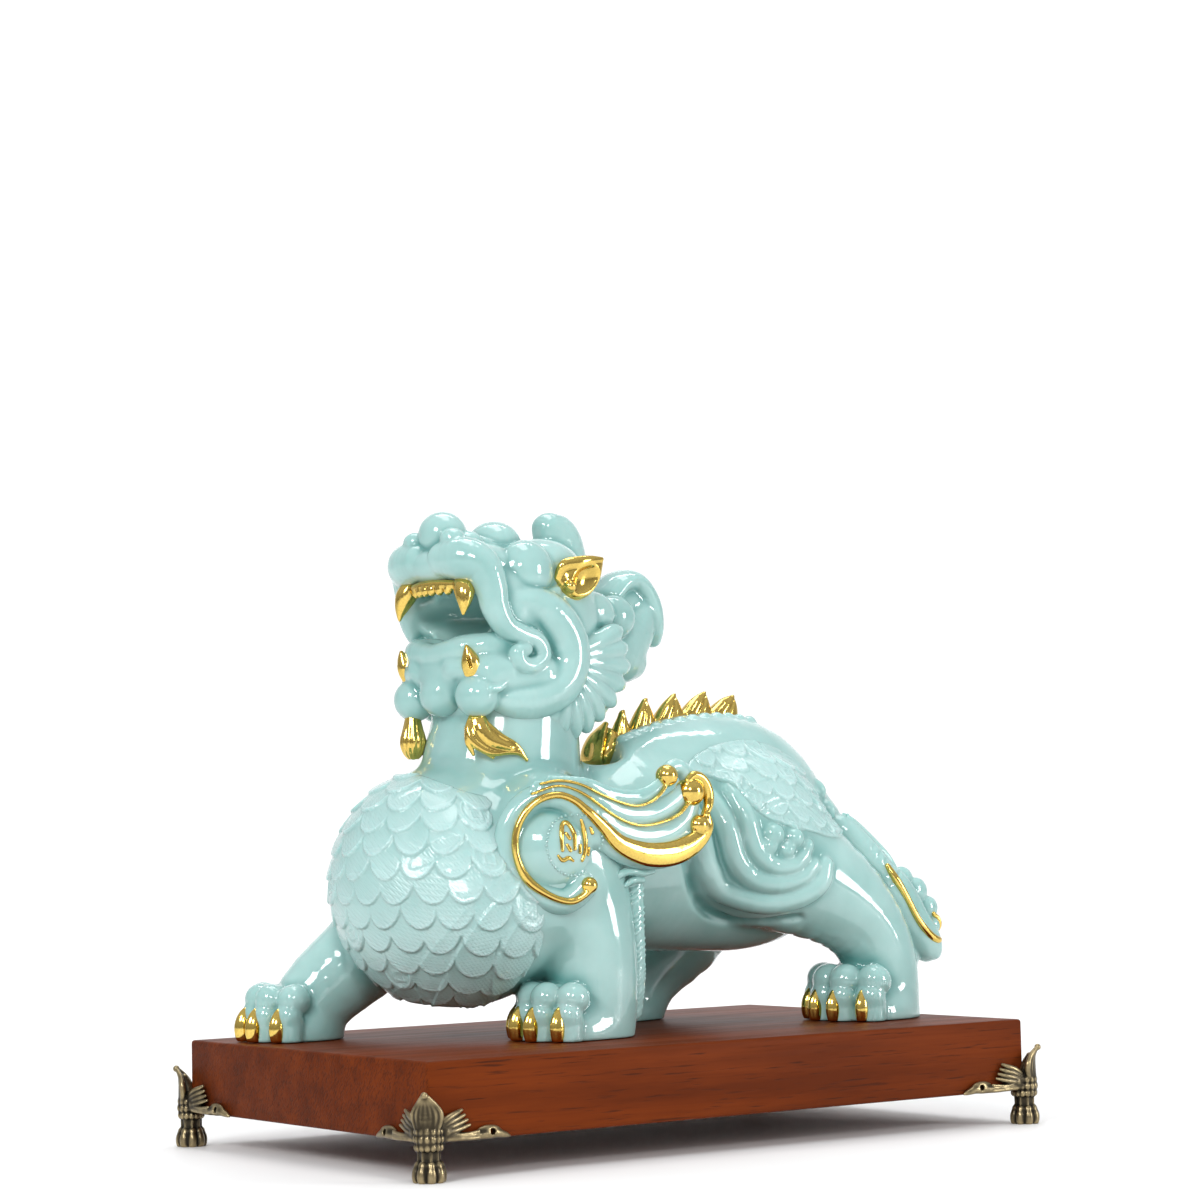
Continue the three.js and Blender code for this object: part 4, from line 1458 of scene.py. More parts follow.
@dataclass
class SpineFins:
    """The gilded fins along the back, the foremost a broad shield."""

    cell: float = 0.62
    thickness: float = 4.4
    fins: tuple[tuple[float, ...], ...] = (
        (9, 145, 22, 149, 18.1, 163.0),
        (21, 151, 38, 157, 32.8, 169.3),
        (37, 157, 56, 161, 51.4, 171.9),
        (55, 161, 74, 162.5, 71.3, 173.2),
        (73, 162, 92, 160.5, 90.2, 171.5),
    )

    def fin(self, clay: Clay, front: tuple[float, float], back: tuple[float, float],
            tip: tuple[float, float]) -> None:
        """One shark-like fin: a round front edge, a hollow back edge and a ridge down each face.

        Args:
            clay: The block that takes the forms.
            front: The x and z of the foot of the front edge.
            back: The x and z of the foot of the back edge.
            tip: The x and z of the tip.
        """
        thick = self.thickness
        foot = ((front[0] + back[0]) / 2, (front[1] + back[1]) / 2 - 3)
        half = 0.5 * (back[0] - front[0])
        rise = (0.42 * front[0] + 0.58 * tip[0] - 0.6, 0.42 * front[1] + 0.58 * tip[1] + 0.4)
        waist = (0.55 * foot[0] + 0.45 * tip[0], 0.55 * foot[1] + 0.45 * tip[1])
        clay.add(
            middle_limb([(*foot, half, thick), (*waist, 0.62 * half, 0.8 * thick),
                         (tip[0] - 1.8, tip[1] - 2.6, 2.0, 1.8),
                         (tip[0] - 0.6, tip[1] - 0.8, 0.8, 0.8)], 1.0, 5),
            middle_limb([(front[0] + 0.5, front[1], 1.8, thick), (*rise, 1.6, 2.6),
                         (tip[0] - 0.7, tip[1] - 0.8, 0.8, 0.8)], 0.8, 5),
        )
        for side in SIDES:
            clay.cut(Limb([[front[0] + 0.42 * (back[0] - front[0]), MIDDLE_Y + side * (thick + 1.2),
                            foot[1] + 2, 1.7],
                           [0.6 * foot[0] + 0.4 * tip[0] - 0.5, MIDDLE_Y + side * (0.75 * thick + 1.0),
                            0.55 * foot[1] + 0.45 * tip[1], 1.4],
                           [tip[0] - 1.6, MIDDLE_Y + side * 2.4, tip[1] - 3.4, 0.7]], 1.0, 4))

    def build(self, finishes: Finishes) -> None:
        """Shapes all the fins on one gilded ridge.

        Args:
            finishes: The four finishes.
        """
        clay = Clay((-12, -10, 122), (100, 22, 178), self.cell)
        clay.add(
            middle_limb([(3, 135, 5, 5), (10, 143, 5, 4.6), (24, 149, 4.8, 4.4), (44, 156, 4.6, 4.4),
                         (64, 159.5, 4.4, 4.2), (88, 158.5, 4, 3.8)], 1.5),
            Ball((4.2, MIDDLE_Y, 143), (5.4, 8, 11.5), 1.5, (0, 22, 0)),
            middle_limb([(-1.5, 130, 1.9, 7), (-3.6, 139, 2.2, 9.6), (-0.5, 148.5, 2.0, 7.5),
                         (5.8, 155.6, 1.4, 2.2)], 1.0, 5),
        )
        clay.cut(Ball((-7.6, MIDDLE_Y, 142.5), (3.2, 5.6, 9), 0.8, (0, 14, 0)))
        for x0, z0, x1, z1, xt, zt in self.fins:
            self.fin(clay, (x0, z0), (x1, z1), (xt, zt))
        clay_piece("spine_fins", clay, on_figure, finishes.gilding, 2.5)


@dataclass
class HeadGilding:
    """The gilded teeth, fangs, ears and beard locks, carved in the head's own frame."""

    cell: float = 0.55
    straight_strands: int = 13
    swept_strands: int = 6

    def teeth(self) -> Clay:
        """The upper gum with its front teeth and two long fangs, and the two small lower fangs.

        Returns:
            A block of its own.
        """
        clay = Clay((14, -32, -15), (46, 32, 42), self.cell)
        clay.add(Limb([[26, -24, 32.5, 2.8], [31.5, -17, 32.8, 2.7], [34.4, -9, 33.4, 2.6],
                       [35.2, 0, 33.8, 2.5], [34.4, 9, 33.4, 2.6], [31.5, 17, 32.8, 2.7],
                       [26, 24, 32.5, 2.8]], 0.8))
        for aside in (-12, -7.2, -2.4, 2.4, 7.2, 12):
            clay.add(Ball((36.0 - 0.016 * aside * aside, aside, 31.2), (2.4, 2.5, 3.1), 0.5))
        for side in HEAD_SIDES:
            clay.add(
                Limb([[30.5, side * 20.6, 33.4, 5.2], [32.2, side * 22.6, 29.4, 5.2],
                      [33.6, side * 24, 24.4, 3.5], [34.5, side * 24.4, 20.4, 1.8],
                      [34.8, side * 24.4, 18, 0.8]], 0.8),
                Limb([[28.5, side * 23.5, -10, 5.2], [30.6, side * 24.6, -6, 4.8],
                      [32.2, side * 25, -1.6, 3.0], [33.6, side * 25, 2.0, 1.0]], 0.5),
            )
            clay.cut(
                Limb([[37, side * 26.6, 30, 0.9], [37.6, side * 26.4, 25, 0.8],
                      [36.4, side * 25.6, 21, 0.4]], 0.6),
                Limb([[33.4, side * 27.6, -8, 0.8], [34.2, side * 26.8, -3.6, 0.6]], 0.5),
            )
        return clay

    def ear(self, side: int) -> Clay:
        """A scooped leaf of an ear with a folded upper edge and a small ball at its root.

        Args:
            side: HEAD_LEFT or HEAD_RIGHT.

        Returns:
            A block of its own.
        """
        ends = sorted((side * 26, side * 48))
        clay = Clay((-52, ends[0], 20), (-14, ends[1], 54), self.cell)
        clay.add(
            Limb([[-24.5, side * 30, 33, 5, 5.5], [-31, side * 34, 36.5, 10.4, 6.5],
                  [-37, side * 36, 40, 8.6, 6], [-43.5, side * 38, 45, 3, 2.6]], 1.0, 5),
        )
        clay.cut(Ball((-33, side * 46.5, 35.5), (12.5, 10, 9.6), 1.2, (0, 36, 0)))
        clay.add(
            Limb([[-20.5, side * 33, 37.5, 2.2, 2], [-22.5, side * 36, 43.5, 3, 2.4],
                  [-30, side * 38.8, 45.2, 3.2, 2.4], [-37.5, side * 39.8, 46.6, 2.4, 2],
                  [-44.5, side * 40, 47.4, 1.2, 1.2]], 1.4, 5),
            Ball((-24.6, side * 37.8, 33), (3.2, 3.2, 3.2), 0.5),
        )
        return clay

    def straight_lock(self) -> Clay:
        """The straight onion-shaped lock under the right of the chin.

        Returns:
            A block of its own.
        """
        clay = Clay((16, -36, -55), (42, -10, -26), self.cell)
        middle = (28.5, -23.0)
        for strand in range(self.straight_strands):
            turn = 2 * math.pi * strand / self.straight_strands
            cos, sin = math.cos(turn), math.sin(turn)
            clay.add(Limb([[middle[0] + out * cos, middle[1] + out * sin, up, radius] for out, up, radius in
                           ((2.4, -29, 1.1), (3.8, -36, 1.3), (5.3, -43, 1.5), (4.2, -48, 1.3),
                            (2.4, -51, 0.8))], 0.2, 4))
        clay.add(Limb([[*middle, -28, 2.6], [*middle, -36, 4], [*middle, -43, 5.4], [*middle, -49, 3]],
                      0.2, 4))
        return clay

    def swept_lock(self) -> Clay:
        """The lock under the left of the chin, whose strands sweep back along the neck to a point.

        Returns:
            A block of its own.
        """
        clay = Clay((-2, 16, -60), (40, 44, -26), self.cell)
        for share in np.linspace(0, 1, self.swept_strands):
            clay.add(Limb([[28.2 - 3.4 * share, 23 + 1.4 * share, -30, 1.3],
                           [32.4 - 9 * share, 24 + 3.4 * share, -37.5 + 1.5 * share, 1.7],
                           [31.6 - 13 * share, 26 + 5 * share, -45 + 3.4 * share, 1.8],
                           [23.5 - 9 * share, 29.8 + 3 * share, -50.2 + 6 * share, 1.6],
                           [15.5 - 3.5 * share, 33 + share, -50 + 4.4 * share, 1.4],
                           [9.5 - share, 35, -50.6 + 2 * share, 1.1], [5.4, 36.2, -54, 0.7]], 0.2, 6))
        clay.add(
            Limb([[32.4, 23.6, -38, 1.8], [32.6, 24.2, -45, 1.8], [30.4, 25, -51, 0.8]], 0.2, 6),
            Limb([[29, 26, -44, 1.8], [25.6, 28, -49, 1.6], [22, 30, -52.6, 0.8]], 0.2, 6),
            Limb([[25.5, 22, -28, 3.4], [26.5, 24.6, -37, 4.8], [23.5, 27.5, -43.6, 4.4],
                  [16.5, 31.6, -47, 3], [10.5, 34, -49, 1.8]], 0.2, 4),
        )
        return clay

    def build(self, finishes: Finishes) -> None:
        """Builds every gilded piece of the head.

        Args:
            finishes: The four finishes.
        """
        pieces = {
            "teeth": self.teeth(),
            "ear_left": self.ear(HEAD_LEFT),
            "ear_right": self.ear(HEAD_RIGHT),
            "beard_lock_right": self.straight_lock(),
            "beard_lock_left": self.swept_lock(),
        }
        for name, clay in pieces.items():
            clay_piece(name, clay, in_head, finishes.gilding, 1.6)


@dataclass
class Claws:
    """The sixteen gilded claws, one shaped and set before every toe."""

    height: float = 17.0
    width: float = 7.6
    depth: float = 9.0

    def template(self) -> tuple[np.ndarray, list[list[int]]]:
        """Shapes one claw: a pointed nail with a ridge down its front, its sole flat on the slab.

        Returns:
            Its vertices and its faces.
        """
        bpy.ops.object.select_all(action="DESELECT")
        bpy.ops.mesh.primitive_uv_sphere_add(segments=16, ring_count=12, radius=1.0)
        claw = bpy.context.object
        for vertex in claw.data.vertices:
            x, y, z = vertex.co
            narrow = 1 - 0.2 * max(0.0, z) ** 2
            ridge = 1 + 0.2 * (1 - min(1.0, abs(y) / 0.5)) * (x > 0)
            vertex.co = Vector((
                (x * ridge * narrow + 0.28 * (1 - z * z)) * self.depth / 2,
                y * narrow * self.width / 2,
                (z + 0.62) * self.height / 1.62,
            ))
        bpy.ops.object.mode_set(mode="EDIT")
        bpy.ops.mesh.select_all(action="SELECT")
        bpy.ops.mesh.bisect(plane_co=(0, 0, 0), plane_no=(0, 0, 1), clear_inner=True, use_fill=True)
        bpy.ops.object.mode_set(mode="OBJECT")
        bpy.ops.object.modifier_add(type="SUBSURF")
        claw.modifiers[0].levels = claw.modifiers[0].render_levels = 1
        bpy.ops.object.modifier_apply(modifier=claw.modifiers[0].name)
        vertices = np.array([v.co for v in claw.data.vertices])
        faces = [list(p.vertices) for p in claw.data.polygons]
        bpy.data.objects.remove(claw)
        return vertices, faces

    def build(self, finishes: Finishes) -> None:
        """Sets four claws on each paw as one piece.

        Args:
            finishes: The four finishes.
        """
        own, own_faces = self.template()
        for paw in PAWS:
            vertices, faces = [], []
            for number, (ahead, aside) in enumerate(paw.toe_places()):
                turn = math.radians(paw.heading + 28 * aside / paw.spread)
                x, y, _ = paw.at(ahead - 1.4, aside, 0)
                turned = own.copy()
                turned[:, 0] = x + own[:, 0] * math.cos(turn) - own[:, 1] * math.sin(turn)
                turned[:, 1] = y + own[:, 0] * math.sin(turn) + own[:, 1] * math.cos(turn)
                vertices.append(turned)
                faces += [[v + number * len(own) for v in face] for face in own_faces]
            joined = np.concatenate(vertices)
            joined[:, 2] = np.maximum(joined[:, 2], 0.0)
            mesh_piece(paw.name, on_figure(joined), faces, finishes.gilding,
                       hollow=np.zeros(len(joined)))


def raised_piece(
    name: str, on: np.ndarray, normal: np.ndarray, relief: np.ndarray, keel: Point, finishes: Finishes
) -> Thing:
    """Raises a relief on a net of points and closes the net at a point inside.

    Args:
        name: The piece's name.
        on: The net's points, rows by columns.
        normal: The outward direction at each point.
        relief: How far each one stands out, in mm, below 0 where it is sunk.
        keel: The point inside where the net is closed.
        finishes: The finishes.

    Returns:
        The new object.
    """
    rows, columns = relief.shape
    raised = (on + normal * relief[..., None]).reshape(-1, 3)
    vertices = np.concatenate([raised, [keel]])
    number = np.arange(rows * columns).reshape(rows, columns)
    quads = np.stack([number[:-1, :-1], number[:-1, 1:], number[1:, 1:], number[1:, :-1]],
                     axis=-1).reshape(-1, 4)
    border = [*number[0, :-1], *number[:-1, -1], *number[-1, :0:-1], *number[:0:-1, 0]]
    fan = [[int(b), int(a), rows * columns] for a, b in zip(border, [*border[1:], border[0]])]
    middle = quads[(rows // 2) * (columns - 1) + columns // 2]
    across = np.cross(vertices[middle[1]] - vertices[middle[0]], vertices[middle[3]] - vertices[middle[0]])
    faces = quads.tolist() + fan
    if across @ normal.reshape(-1, 3)[middle[0]] < 0:
        faces = [face[::-1] for face in faces]
    frost = np.append(np.clip(relief.ravel() / 2.4, 0, 1), 0)
    return mesh_piece(name, on_figure(vertices), faces, finishes.jade,
                      hollow=0 * frost, frost=frost)


@dataclass(frozen=True)
class ScaleRows:
    """Rows of round overlapping scales, each lifted and frosted at its lower edge."""

    pitch: float
    width: float
    lift: float
    edge: float = 0.7
    tall: float = 1.25
    coin_every: int = 9

    def relief(self, down: np.ndarray, along: np.ndarray, across: np.ndarray,
               spacing: Callable[[int], float]) -> np.ndarray:
        """How far the scales stand out.

        Args:
            down: How far below the first row each point lies, in mm.
            along: The place along the row, in the row's own unit.
            across: The mm in one such unit at each point.
            spacing: The spacing of a row's scales, in its own unit.

        Returns:
            The height at each point, in mm.
        """
        total = np.zeros(down.shape)
        half = 0.54 * self.width
        for row in range(-1, int(down.max() / self.pitch) + 2):
            space = spacing(row)
            shift = 0.5 * space * (row % 2)
            index = np.round((along - shift) / space)
            aside = (along - shift - index * space) * across
            tilt = 0.22 * np.sin(index * 2.3 + row * 1.7)
            below = down - row * self.pitch + tilt * aside
            away = np.hypot(aside, below / self.tall)
            slant = np.clip((below + half) / (half * (1 + self.tall)), 0, 1)
            rim = np.exp(-(((half - away - 0.9) / 0.6) ** 2)) * slant
            height = (0.1 + self.lift * slant**1.3 + 0.25 * rim) * eased(half - away, 0, self.edge)
            coin = (np.mod(index * 5 + row * 3, self.coin_every) == 2) & (away < half)
            ring = np.exp(-(((away - 0.74 * half) / 0.5) ** 2))
            hole = np.exp(-(((np.maximum(np.abs(aside), np.abs(below - 2)) - 0.28 * half) / 0.45) ** 2))
            height = height + np.where(coin, 0.55 * np.maximum(ring, hole), 0)
            total = np.maximum(total, height)
        return total


@dataclass
class ChestScales:
    """The frosted breastplate of overlapping scales."""

    body: Body
    step: float = 0.76
    breast_cell: float = 1.6
    top: float = 16.0
    bottom: float = 168.0
    reach: float = 112.0
    scales: ScaleRows = ScaleRows(11.6, 17.0, 1.9, 0.8, 1.25, 11)

    def build(self, finishes: Finishes) -> None:
        """Lays the breastplate over the chest, its upper edge drawn down at the sides of the neck.

        Args:
            finishes: The four finishes.
        """
        breast = Clay((-158, -66, 10), (-24, 68, 142), self.breast_cell)
        breast.add(*self.body.chest)
        middle = np.array(self.body.chest[0].centre)
        size = float(np.mean(self.body.chest[0].radii))
        rows = int(math.radians(self.bottom - self.top) * size / self.step)
        columns = int(math.radians(2 * self.reach) * size / self.step)
        share, turn = np.meshgrid(
            np.linspace(0, 1, rows), np.radians(np.linspace(-self.reach, self.reach, columns)),
            indexing="ij"
        )
        upper = np.radians(self.top + 20 * eased(np.abs(turn), 0.35, 1.7))
        polar = upper + share * (math.radians(self.bottom) - upper)
        out = np.stack([-np.cos(turn) * np.sin(polar), -np.sin(turn) * np.sin(polar), np.cos(polar)],
                       axis=-1)
        first = math.radians(self.top)

        def spacing(row: int) -> float:
            """The angle between two scales of a row."""
            height = first + row * self.scales.pitch / size
            around = 2 * math.pi * size * max(0.15, math.sin(max(0.3, min(height, 2.9))))
            return 2 * math.pi / max(3, round(around / self.scales.width))

        relief = self.scales.relief((polar - first) * size, turn, size * np.sin(polar), spacing)
        show = eased(np.degrees(polar - upper), 0.5, 7)
        show = show * eased(-np.degrees(polar), -self.bottom, -self.bottom + 6)
        show = show * eased(-np.abs(np.degrees(turn)), -self.reach + 1, -self.reach + 4)
        start = middle + 1.3 * size * out
        on, normal = breast.settle(start.reshape(-1, 3), -out.reshape(-1, 3), 50)
        raised_piece("chest_scales", on.reshape(out.shape), normal.reshape(out.shape),
                     -1.2 + show * (1.5 + relief), tuple(middle), finishes)


@dataclass
class HaunchScales:
    """The frosted crescent of shallow scales and coins over one haunch."""

    body: Body
    side: int
    step: float = 0.62
    outline: tuple[tuple[float, float], ...] = (
        (24, 129), (34, 137.5), (50, 144), (68, 147), (86, 145), (101, 137), (112, 124), (119, 109),
        (119, 96), (104, 94), (88, 97), (73, 100), (60, 105), (52, 113), (47, 121), (40, 126),
        (31, 128.5),
    )
    along: tuple[float, float] = (20.0, 124.0)
    upward: tuple[float, float] = (90.0, 149.5)
    scales: ScaleRows = ScaleRows(9.4, 13.5, 1.6, 0.55, 1.15, 4)

    def inside(self, x: np.ndarray, z: np.ndarray) -> np.ndarray:
        """How far each place lies inside the crescent's outline, in mm, below 0 outside.

        Args:
            x: Places along the figure.
            z: Their heights.

        Returns:
            A distance for each place.
        """
        loop = smooth_path([*self.outline, self.outline[0]], 4)
        away = np.full(x.shape, 1e9)
        crossed = np.zeros(x.shape, bool)
        for (ax, az), (bx, bz) in zip(loop[:-1], loop[1:]):
            length = (bx - ax) ** 2 + (bz - az) ** 2 + 1e-9
            t = np.clip(((x - ax) * (bx - ax) + (z - az) * (bz - az)) / length, 0, 1)
            away = np.minimum(away, np.hypot(x - ax - t * (bx - ax), z - az - t * (bz - az)))
            spans = (az > z) != (bz > z)
            crossed ^= spans & (x < ax + (z - az) * (bx - ax) / (bz - az + 1e-9))
        return np.where(crossed, away, -away)

    def build(self, finishes: Finishes) -> None:
        """Lays the crescent over the haunch.

        Args:
            finishes: The four finishes.
        """
        x, z = np.meshgrid(np.arange(*self.along, self.step), np.arange(*self.upward, self.step),
                           indexing="ij")
        start = np.stack([x, np.full(x.shape, MIDDLE_Y + self.side * 74.0), z], axis=-1)
        relief = self.scales.relief(150 - z - 0.25 * x, x, np.ones(x.shape), lambda row: self.scales.width)
        show = eased(self.inside(x, z), 0.0, 1.4)
        word = "left" if self.side == LEFT else "right"
        keel = (72.0, MIDDLE_Y + self.side * 20, 100.0)
        on, normal = self.body.clay.settle(start.reshape(-1, 3), [0, -self.side, 0], 72)
        raised_piece(f"haunch_scales_{word}", on.reshape(start.shape), normal.reshape(start.shape),
                     -1.3 + show * (1.7 + relief), keel, finishes)


@dataclass
class ForelegFringe:
    """The feathered fringe of hair down the back of the left foreleg, with small flames at its top."""

    cell: float = 0.6
    ribs: int = 20

    def build(self, finishes: Finishes) -> None:
        """Carves the fringe as slanting ribs on a narrow band.

        Args:
            finishes: The four finishes.
        """
        clay = Clay((-50, -68, 4), (-4, -40, 92), self.cell)
        spine = smooth_path([[-21, -54, 76], [-21.5, -54.5, 58], [-21, -54, 40], [-21, -53.5, 26],
                             [-22, -52, 12]], 6)
        clay.add(Limb([[*p, 4.6, 2.6] for p in spine], 1.5, 1))
        for rib in range(self.ribs):
            at = spine[int(rib / (self.ribs - 1) * (len(spine) - 1))]
            clay.add(Limb([[at[0] - 5.4, at[1] - 1.6, at[2] - 3.2, 0.5],
                           [at[0] - 2.0, at[1] - 2.0, at[2] - 1.8, 0.9],
                           [at[0] + 3.6, at[1] - 1.6, at[2] + 1.8, 0.7]], 0.5, 3))
        clay.add(
            Limb([[-38, -58, 74.5, 1.2], [-34, -60.5, 79.5, 1.9], [-28, -61.5, 80.5, 2.0],
                  [-21, -60.5, 79.5, 1.9], [-13, -58, 80, 1.2]], 1, 5),
            Limb([[-31, -59, 73.5, 1.2], [-27, -60, 76, 1.8], [-20, -58.5, 76, 1.6]], 0.8, 5),
        )
        clay_piece("foreleg_fringe", clay, on_figure, finishes.jade, 1.5)


@dataclass
class Slab:
    """The stained wooden slab with its slightly eased edges."""

    ease: float = 1.6
    segments: int = 4

    def build(self, finishes: Finishes) -> None:
        """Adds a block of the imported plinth's size and eases its edges.

        Args:
            finishes: The four finishes.
        """
        bpy.ops.object.select_all(action="DESELECT")
        bpy.ops.mesh.primitive_cube_add(size=1.0, calc_uvs=False)
        slab = bpy.context.object
        slab.name = slab.data.name = "slab"
        size, middle = SLAB_HIGH - SLAB_LOW, (SLAB_HIGH + SLAB_LOW) / 2
        for vertex in slab.data.vertices:
            vertex.co = Vector([middle[i] + vertex.co[i] * size[i] for i in range(3)])
        bpy.ops.object.mode_set(mode="EDIT")
        bpy.ops.mesh.select_all(action="SELECT")
        bpy.ops.mesh.bevel(offset=self.ease * MM, segments=self.segments, profile=0.5, affect="EDGES")
        bpy.ops.object.mode_set(mode="OBJECT")
        bpy.ops.object.shade_smooth_by_angle(angle=math.radians(50))
        register(slab, finishes.wood, "plinth")


@dataclass
class CornerFeet:
    """The four cast feet, each a lobed paw with a ribbed collar, a fluted leaf and two arms."""

    cell: float = 0.48
    stand: float = 17.0
    arm: float = 42.0
    paw_lobes: int = 8
    collar_ribs: int = 14
    flutes: int = 7
    side_flutes: int = 4
    gap: float = 0.15
    keep: float = 0.5
    worn_reach: float = 1.6

    def outward(self, out: float, aside: float, up: float) -> list[float]:
        """A point on the corner's diagonal, outward, to the side and up."""
        return [(-out + aside) * math.sqrt(0.5), (-out - aside) * math.sqrt(0.5), up]

    def column(self, clay: Clay) -> None:
        """The paw, the waist and the ribbed collar.

        Args:
            clay: The block that takes the forms.
        """
        clay.add(Ball((0, 0, 4.0), (6.2, 6.2, 6), 1),
                 Limb([[0, 0, 6, 5], [0, 0, 11, 4.6], [0, 0, 16, 5.2]], 1.5))
        for lobe in range(self.paw_lobes):
            turn = 2 * math.pi * (lobe + 0.5) / self.paw_lobes + math.radians(225)
            x, y = math.cos(turn), math.sin(turn)
            clay.add(
                Ball((5.4 * x, 5.4 * y, 3.2), (2.5, 2.5, 4.6), 0.4),
                Ball((4.6 * x, 4.6 * y, 7.2), (2.2, 2.2, 2.6), 0.5),
                Limb([[4.4 * x, 4.4 * y, 9.5, 0.9], [4.5 * x, 4.5 * y, 13.5, 0.9]], 0.4),
            )
        for level, radius in ((15.6, 6.2), (19.2, 6.6), (22.4, 6.2)):
            for rib in range(self.collar_ribs):
                turn = 2 * math.pi * rib / self.collar_ribs
                place = (radius * math.cos(turn) * 0.86, radius * math.sin(turn) * 0.86, level)
                clay.add(Ball(place, (1.5, 1.5, 1.9), 0.3))

    def leaf(self, clay: Clay) -> None:
        """The fluted leaf on the corner, curling outward to a small ball.

        Args:
            clay: The block that takes the forms.
        """
        for flute in range(self.flutes):
            j = flute - (self.flutes - 1) / 2
            clay.add(Limb([
                [*self.outward(4.6 - 0.10 * j * j, 0.9 * j, 20), 1.3],
                [*self.outward(4.4 - 0.22 * j * j, 1.75 * j, 26), 1.5],
                [*self.outward(4.6 - 0.22 * j * j, 2.0 * j, 30.5), 1.5],
                [*self.outward(5.4 - 0.16 * j * j, 1.3 * j, 34.5), 1.2],
                [*self.outward(7.0 - 0.05 * j * j, 0.5 * j, 38), 0.9],
            ], 0.35, 5))
        clay.add(Limb([[*self.outward(1.5, 0, 18), 5, 5], [*self.outward(2.0, 0, 27), 4.4, 4.4],
                       [*self.outward(3.6, 0, 34), 2.2, 2.2]], 1))
        clay.add(Ball(tuple(self.outward(7.6, 0, 38.7)), (1.7, 1.7, 1.7), 0.3))

    def side(self, clay: Clay, swap: bool) -> None:
        """The arm, its boss with an empty screw hole, the rosette and the short fluted leaf of one side.

        Args:
            clay: The block that takes the forms.
            swap: Whether the side runs along y instead of x.
        """

        def place(x: float, y: float, z: float) -> list[float]:
            """A point of this side or of the other, across the corner's diagonal."""
            return [y, x, z] if swap else [x, y, z]

        def egg(centre: Point, radii: Point, blend: float) -> Ball:
            """An egg of this side or of the other."""
            return Ball(tuple(place(*centre)), tuple(place(*radii)), blend)

        for flute in range(self.side_flutes):
            end = (20.5 - 1.4 * flute, -1.9, 24.0 + 2.3 * flute)
            clay.add(Limb([[*place(1, -2.6, 20.5 + flute), 1.6],
                           [*place(0.55 * end[0], -2.9, 22 + 2.0 * flute), 1.6],
                           [*place(*end), 0.8]], 0.35, 5))
        reach = self.arm
        clay.add(
            Limb([[*place(1, -2.2, 19.6), 2.4], [*place(0.3 * reach, -2.2, 19.2), 2.0],
                  [*place(0.55 * reach, -2.0, 19.0), 2.0], [*place(0.8 * reach, -1.8, 19.6), 2.2],
                  [*place(0.94 * reach, -1.5, 18.4), 1.4], [*place(reach, -1.2, 17.6), 0.7]], 0.6, 5),
            egg((0.73 * reach, -1.9, 20.3), (6.8, 1.9, 3.1), 0.5),
            egg((7.2, -3.2, 21.6), (2.7, 1.6, 2.7), 0.4),
        )
        for shift in (-1.1, 0.0, 1.1):
            clay.add(Limb([[*place(8, -3.6, 19.6 + shift), 0.8],
                           [*place(0.4 * reach, -3.7, 19.2 + 0.9 * shift), 0.8],
                           [*place(0.58 * reach, -3.4, 19.6 + 1.3 * shift), 0.7]], 0.3, 4))
        clay.cut(Limb([[*place(0.76 * reach, -6, 20.3), 1.45], [*place(0.76 * reach, 1, 20.3), 1.45]], 0.4))

    def build(self, finishes: Finishes) -> None:
        """Shapes one foot and sets a turned copy under each corner.

        Args:
            finishes: The four finishes.
        """
        clay = Clay((-10, -10, -2), (45, 45, 43), self.cell)
        self.column(clay)
        self.leaf(clay)
        for swap in (False, True):
            self.side(clay, swap)
        x, y, z = (clay.low[a] + clay.cell * np.arange(clay.counts[a]) for a in range(3))
        seat = np.minimum(y[None, :, None], z[None, None, :] - self.stand)
        seat = np.minimum(x[:, None, None], seat) + self.gap
        clay.field = np.maximum(clay.field, seat.astype(np.float32))
        clay.cut_below(0.0)
        vertices, faces = thinned(*clay.skin(), self.keep)
        normals = unit(clay.slope(vertices))
        bend = clay.bend(vertices, self.worn_reach)
        worn, hollow = np.maximum(bend, 0), np.maximum(-bend, 0)
        for name, turn, x, y in (
            ("foot_front_left", 0, SLAB_LOW.x, SLAB_LOW.y),
            ("foot_back_left", 90, SLAB_HIGH.x, SLAB_LOW.y),
            ("foot_back_right", 180, SLAB_HIGH.x, SLAB_HIGH.y),
            ("foot_front_right", 270, SLAB_LOW.x, SLAB_HIGH.y),
        ):
            cos, sin = math.cos(math.radians(turn)), math.sin(math.radians(turn))
            about = np.array([[cos, sin, 0], [-sin, cos, 0], [0, 0, 1]])
            turned = (vertices @ about) * MM + np.array([x, y, 0])
            mesh_piece(f"cast_{name}", turned, faces, finishes.brass, name, normals @ about,
                       hollow=hollow, ridge=worn)


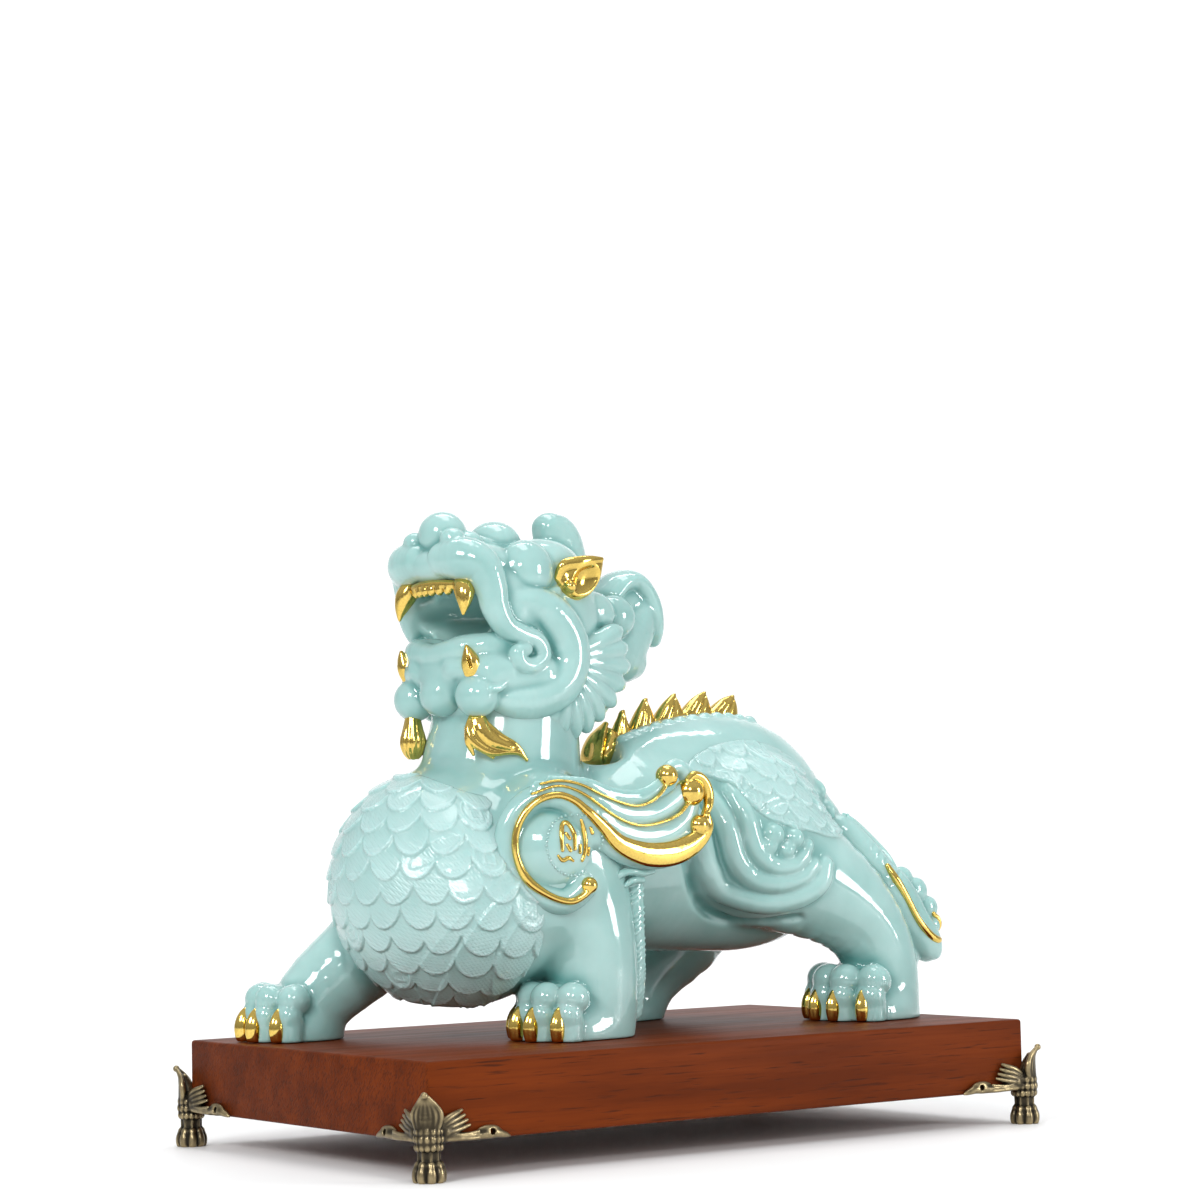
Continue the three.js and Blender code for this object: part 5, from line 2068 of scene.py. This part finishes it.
@dataclass
class Studio:
    """The plain pale floor, the soft lights and the camera."""

    camera_place: Point = (-0.8949, -1.2550, 0.1523)
    azimuth: float = -35.483
    elevation: float = -4.462
    roll: float = -1.223
    lens: float = 90.0
    sensor: float = 36.0
    floor_half: float = 9.0
    floor_run: float = 2.0
    sweep: float = 1.2
    wall: float = 3.5
    low_sky: tuple = (0.28, 0.285, 0.29, 1)
    high_sky: tuple = (0.62, 0.64, 0.66, 1)

    def floor(self) -> None:
        """A pale floor that curves up into a backdrop far behind."""
        material, nodes, shader = new_material("pale_floor")
        broad, _ = drift(nodes, 3.0, 60.0)
        base = nodes.mix(broad, (0.86, 0.855, 0.85, 1), (0.90, 0.895, 0.89, 1))
        nodes.fill(shader, {"Base Color": base, "Roughness": 0.55})
        profile = [(-self.floor_half, 0.0), (self.floor_run, 0.0)]
        for step in range(1, 13):
            turn = math.radians(7.5 * step)
            profile.append((self.floor_run + self.sweep * math.sin(turn),
                            self.sweep * (1 - math.cos(turn))))
        profile.append((self.floor_run + self.sweep, self.wall))
        view = math.radians(self.azimuth)
        away = Vector((-math.sin(view), math.cos(view), 0))
        across = Vector((math.cos(view), math.sin(view), 0))
        vertices = [away * d + across * s + Vector((0, 0, h))
                    for d, h in profile for s in (-self.floor_half, self.floor_half)]
        faces = [(2 * i, 2 * i + 1, 2 * i + 3, 2 * i + 2) for i in range(len(profile) - 1)]
        mesh = bpy.data.meshes.new("floor")
        mesh.from_pydata([tuple(v) for v in vertices], [], faces)
        mesh.shade_smooth()
        mesh.materials.append(material)
        floor = bpy.data.objects.new("floor", mesh)
        bpy.context.scene.collection.objects.link(floor)

    def lamp(self, name: str, place: Point, size: tuple[float, float], watts: float, aim: Point) -> None:
        """A soft rectangular light aimed at a point.

        Args:
            name: Its name.
            place: Its middle.
            size: Its width and height.
            watts: Its power.
            aim: The point that it faces.
        """
        data = bpy.data.lights.new(name, "AREA")
        data.shape = "RECTANGLE"
        data.size, data.size_y = size
        data.energy = watts
        lamp = bpy.data.objects.new(name, data)
        bpy.context.scene.collection.objects.link(lamp)
        away = Vector(aim) - Vector(place)
        lamp.matrix_world = Matrix.Translation(place) @ away.to_track_quat("-Z", "Y").to_matrix().to_4x4()

    def camera(self) -> None:
        """The camera at the photograph's place and angle."""
        turn, tilt, roll = (math.radians(v) for v in (self.azimuth, self.elevation, self.roll))
        back = Vector((math.sin(turn) * math.cos(tilt), -math.cos(turn) * math.cos(tilt), math.sin(tilt)))
        right = Vector((math.cos(turn), math.sin(turn), 0))
        up = back.cross(right)
        leaned_right = right * math.cos(roll) + up * math.sin(roll)
        leaned_up = up * math.cos(roll) - right * math.sin(roll)
        data = bpy.data.cameras.new("camera")
        data.lens = self.lens
        data.sensor_width = self.sensor
        data.clip_start = 0.05
        camera = bpy.data.objects.new("camera", data)
        bpy.context.scene.collection.objects.link(camera)
        matrix = Matrix((leaned_right, leaned_up, back)).transposed().to_4x4()
        matrix.translation = Vector(self.camera_place)
        camera.matrix_world = matrix
        bpy.context.scene.camera = camera

    def build(self) -> None:
        """Sets the whole studio."""
        self.floor()
        aim = (0, 0, 0.15)
        self.lamp("key_light", (-1.9, -0.8, 1.25), (0.6, 0.6), 23, aim)
        self.lamp("top_light", (0.1, 0.0, 1.9), (1.2, 0.6), 8, aim)
        self.lamp("side_light", (1.3, -1.6, 0.5), (0.45, 0.7), 15, aim)
        self.lamp("front_light", (-1.2, -2.0, 1.1), (0.5, 0.4), 15, aim)
        self.lamp("backdrop_light", (0.55, 0.8, 2.4), (2.0, 0.6), 42, (1.8, 2.6, 0.6))
        world = bpy.data.worlds.new("studio")
        world.use_nodes = True
        sky = world.node_tree.nodes["Background"]
        nodes = Nodes(world.node_tree)
        view = nodes.add("TexCoord").outputs["Generated"]
        height = nodes.add("SeparateXYZ", {0: view}).outputs[2]
        share = nodes.spread(height, -0.1, 0.7, 0.0, 1.0)
        nodes.fill(sky, {"Color": nodes.mix(share, self.low_sky, self.high_sky), "Strength": 1.0})
        bpy.context.scene.world = world
        bpy.context.scene.view_settings.view_transform = "Standard"
        self.camera()


def main() -> None:
    """Builds the object piece by piece, then the studio."""
    logging.basicConfig(level=logging.INFO, format="%(message)s")
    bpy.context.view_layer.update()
    finishes = Finishes()
    body = Body()
    body.build(finishes)
    Head().build(finishes)
    for side in SIDES:
        Wing(side).build(finishes)
        HaunchScales(body, side).build(finishes)
    ChestScales(body).build(finishes)
    Tail().build(finishes)
    SpineFins().build(finishes)
    HeadGilding().build(finishes)
    Claws().build(finishes)
    ForelegFringe().build(finishes)
    Slab().build(finishes)
    CornerFeet().build(finishes)
    Studio().build()


if __name__ == "__main__":
    main()
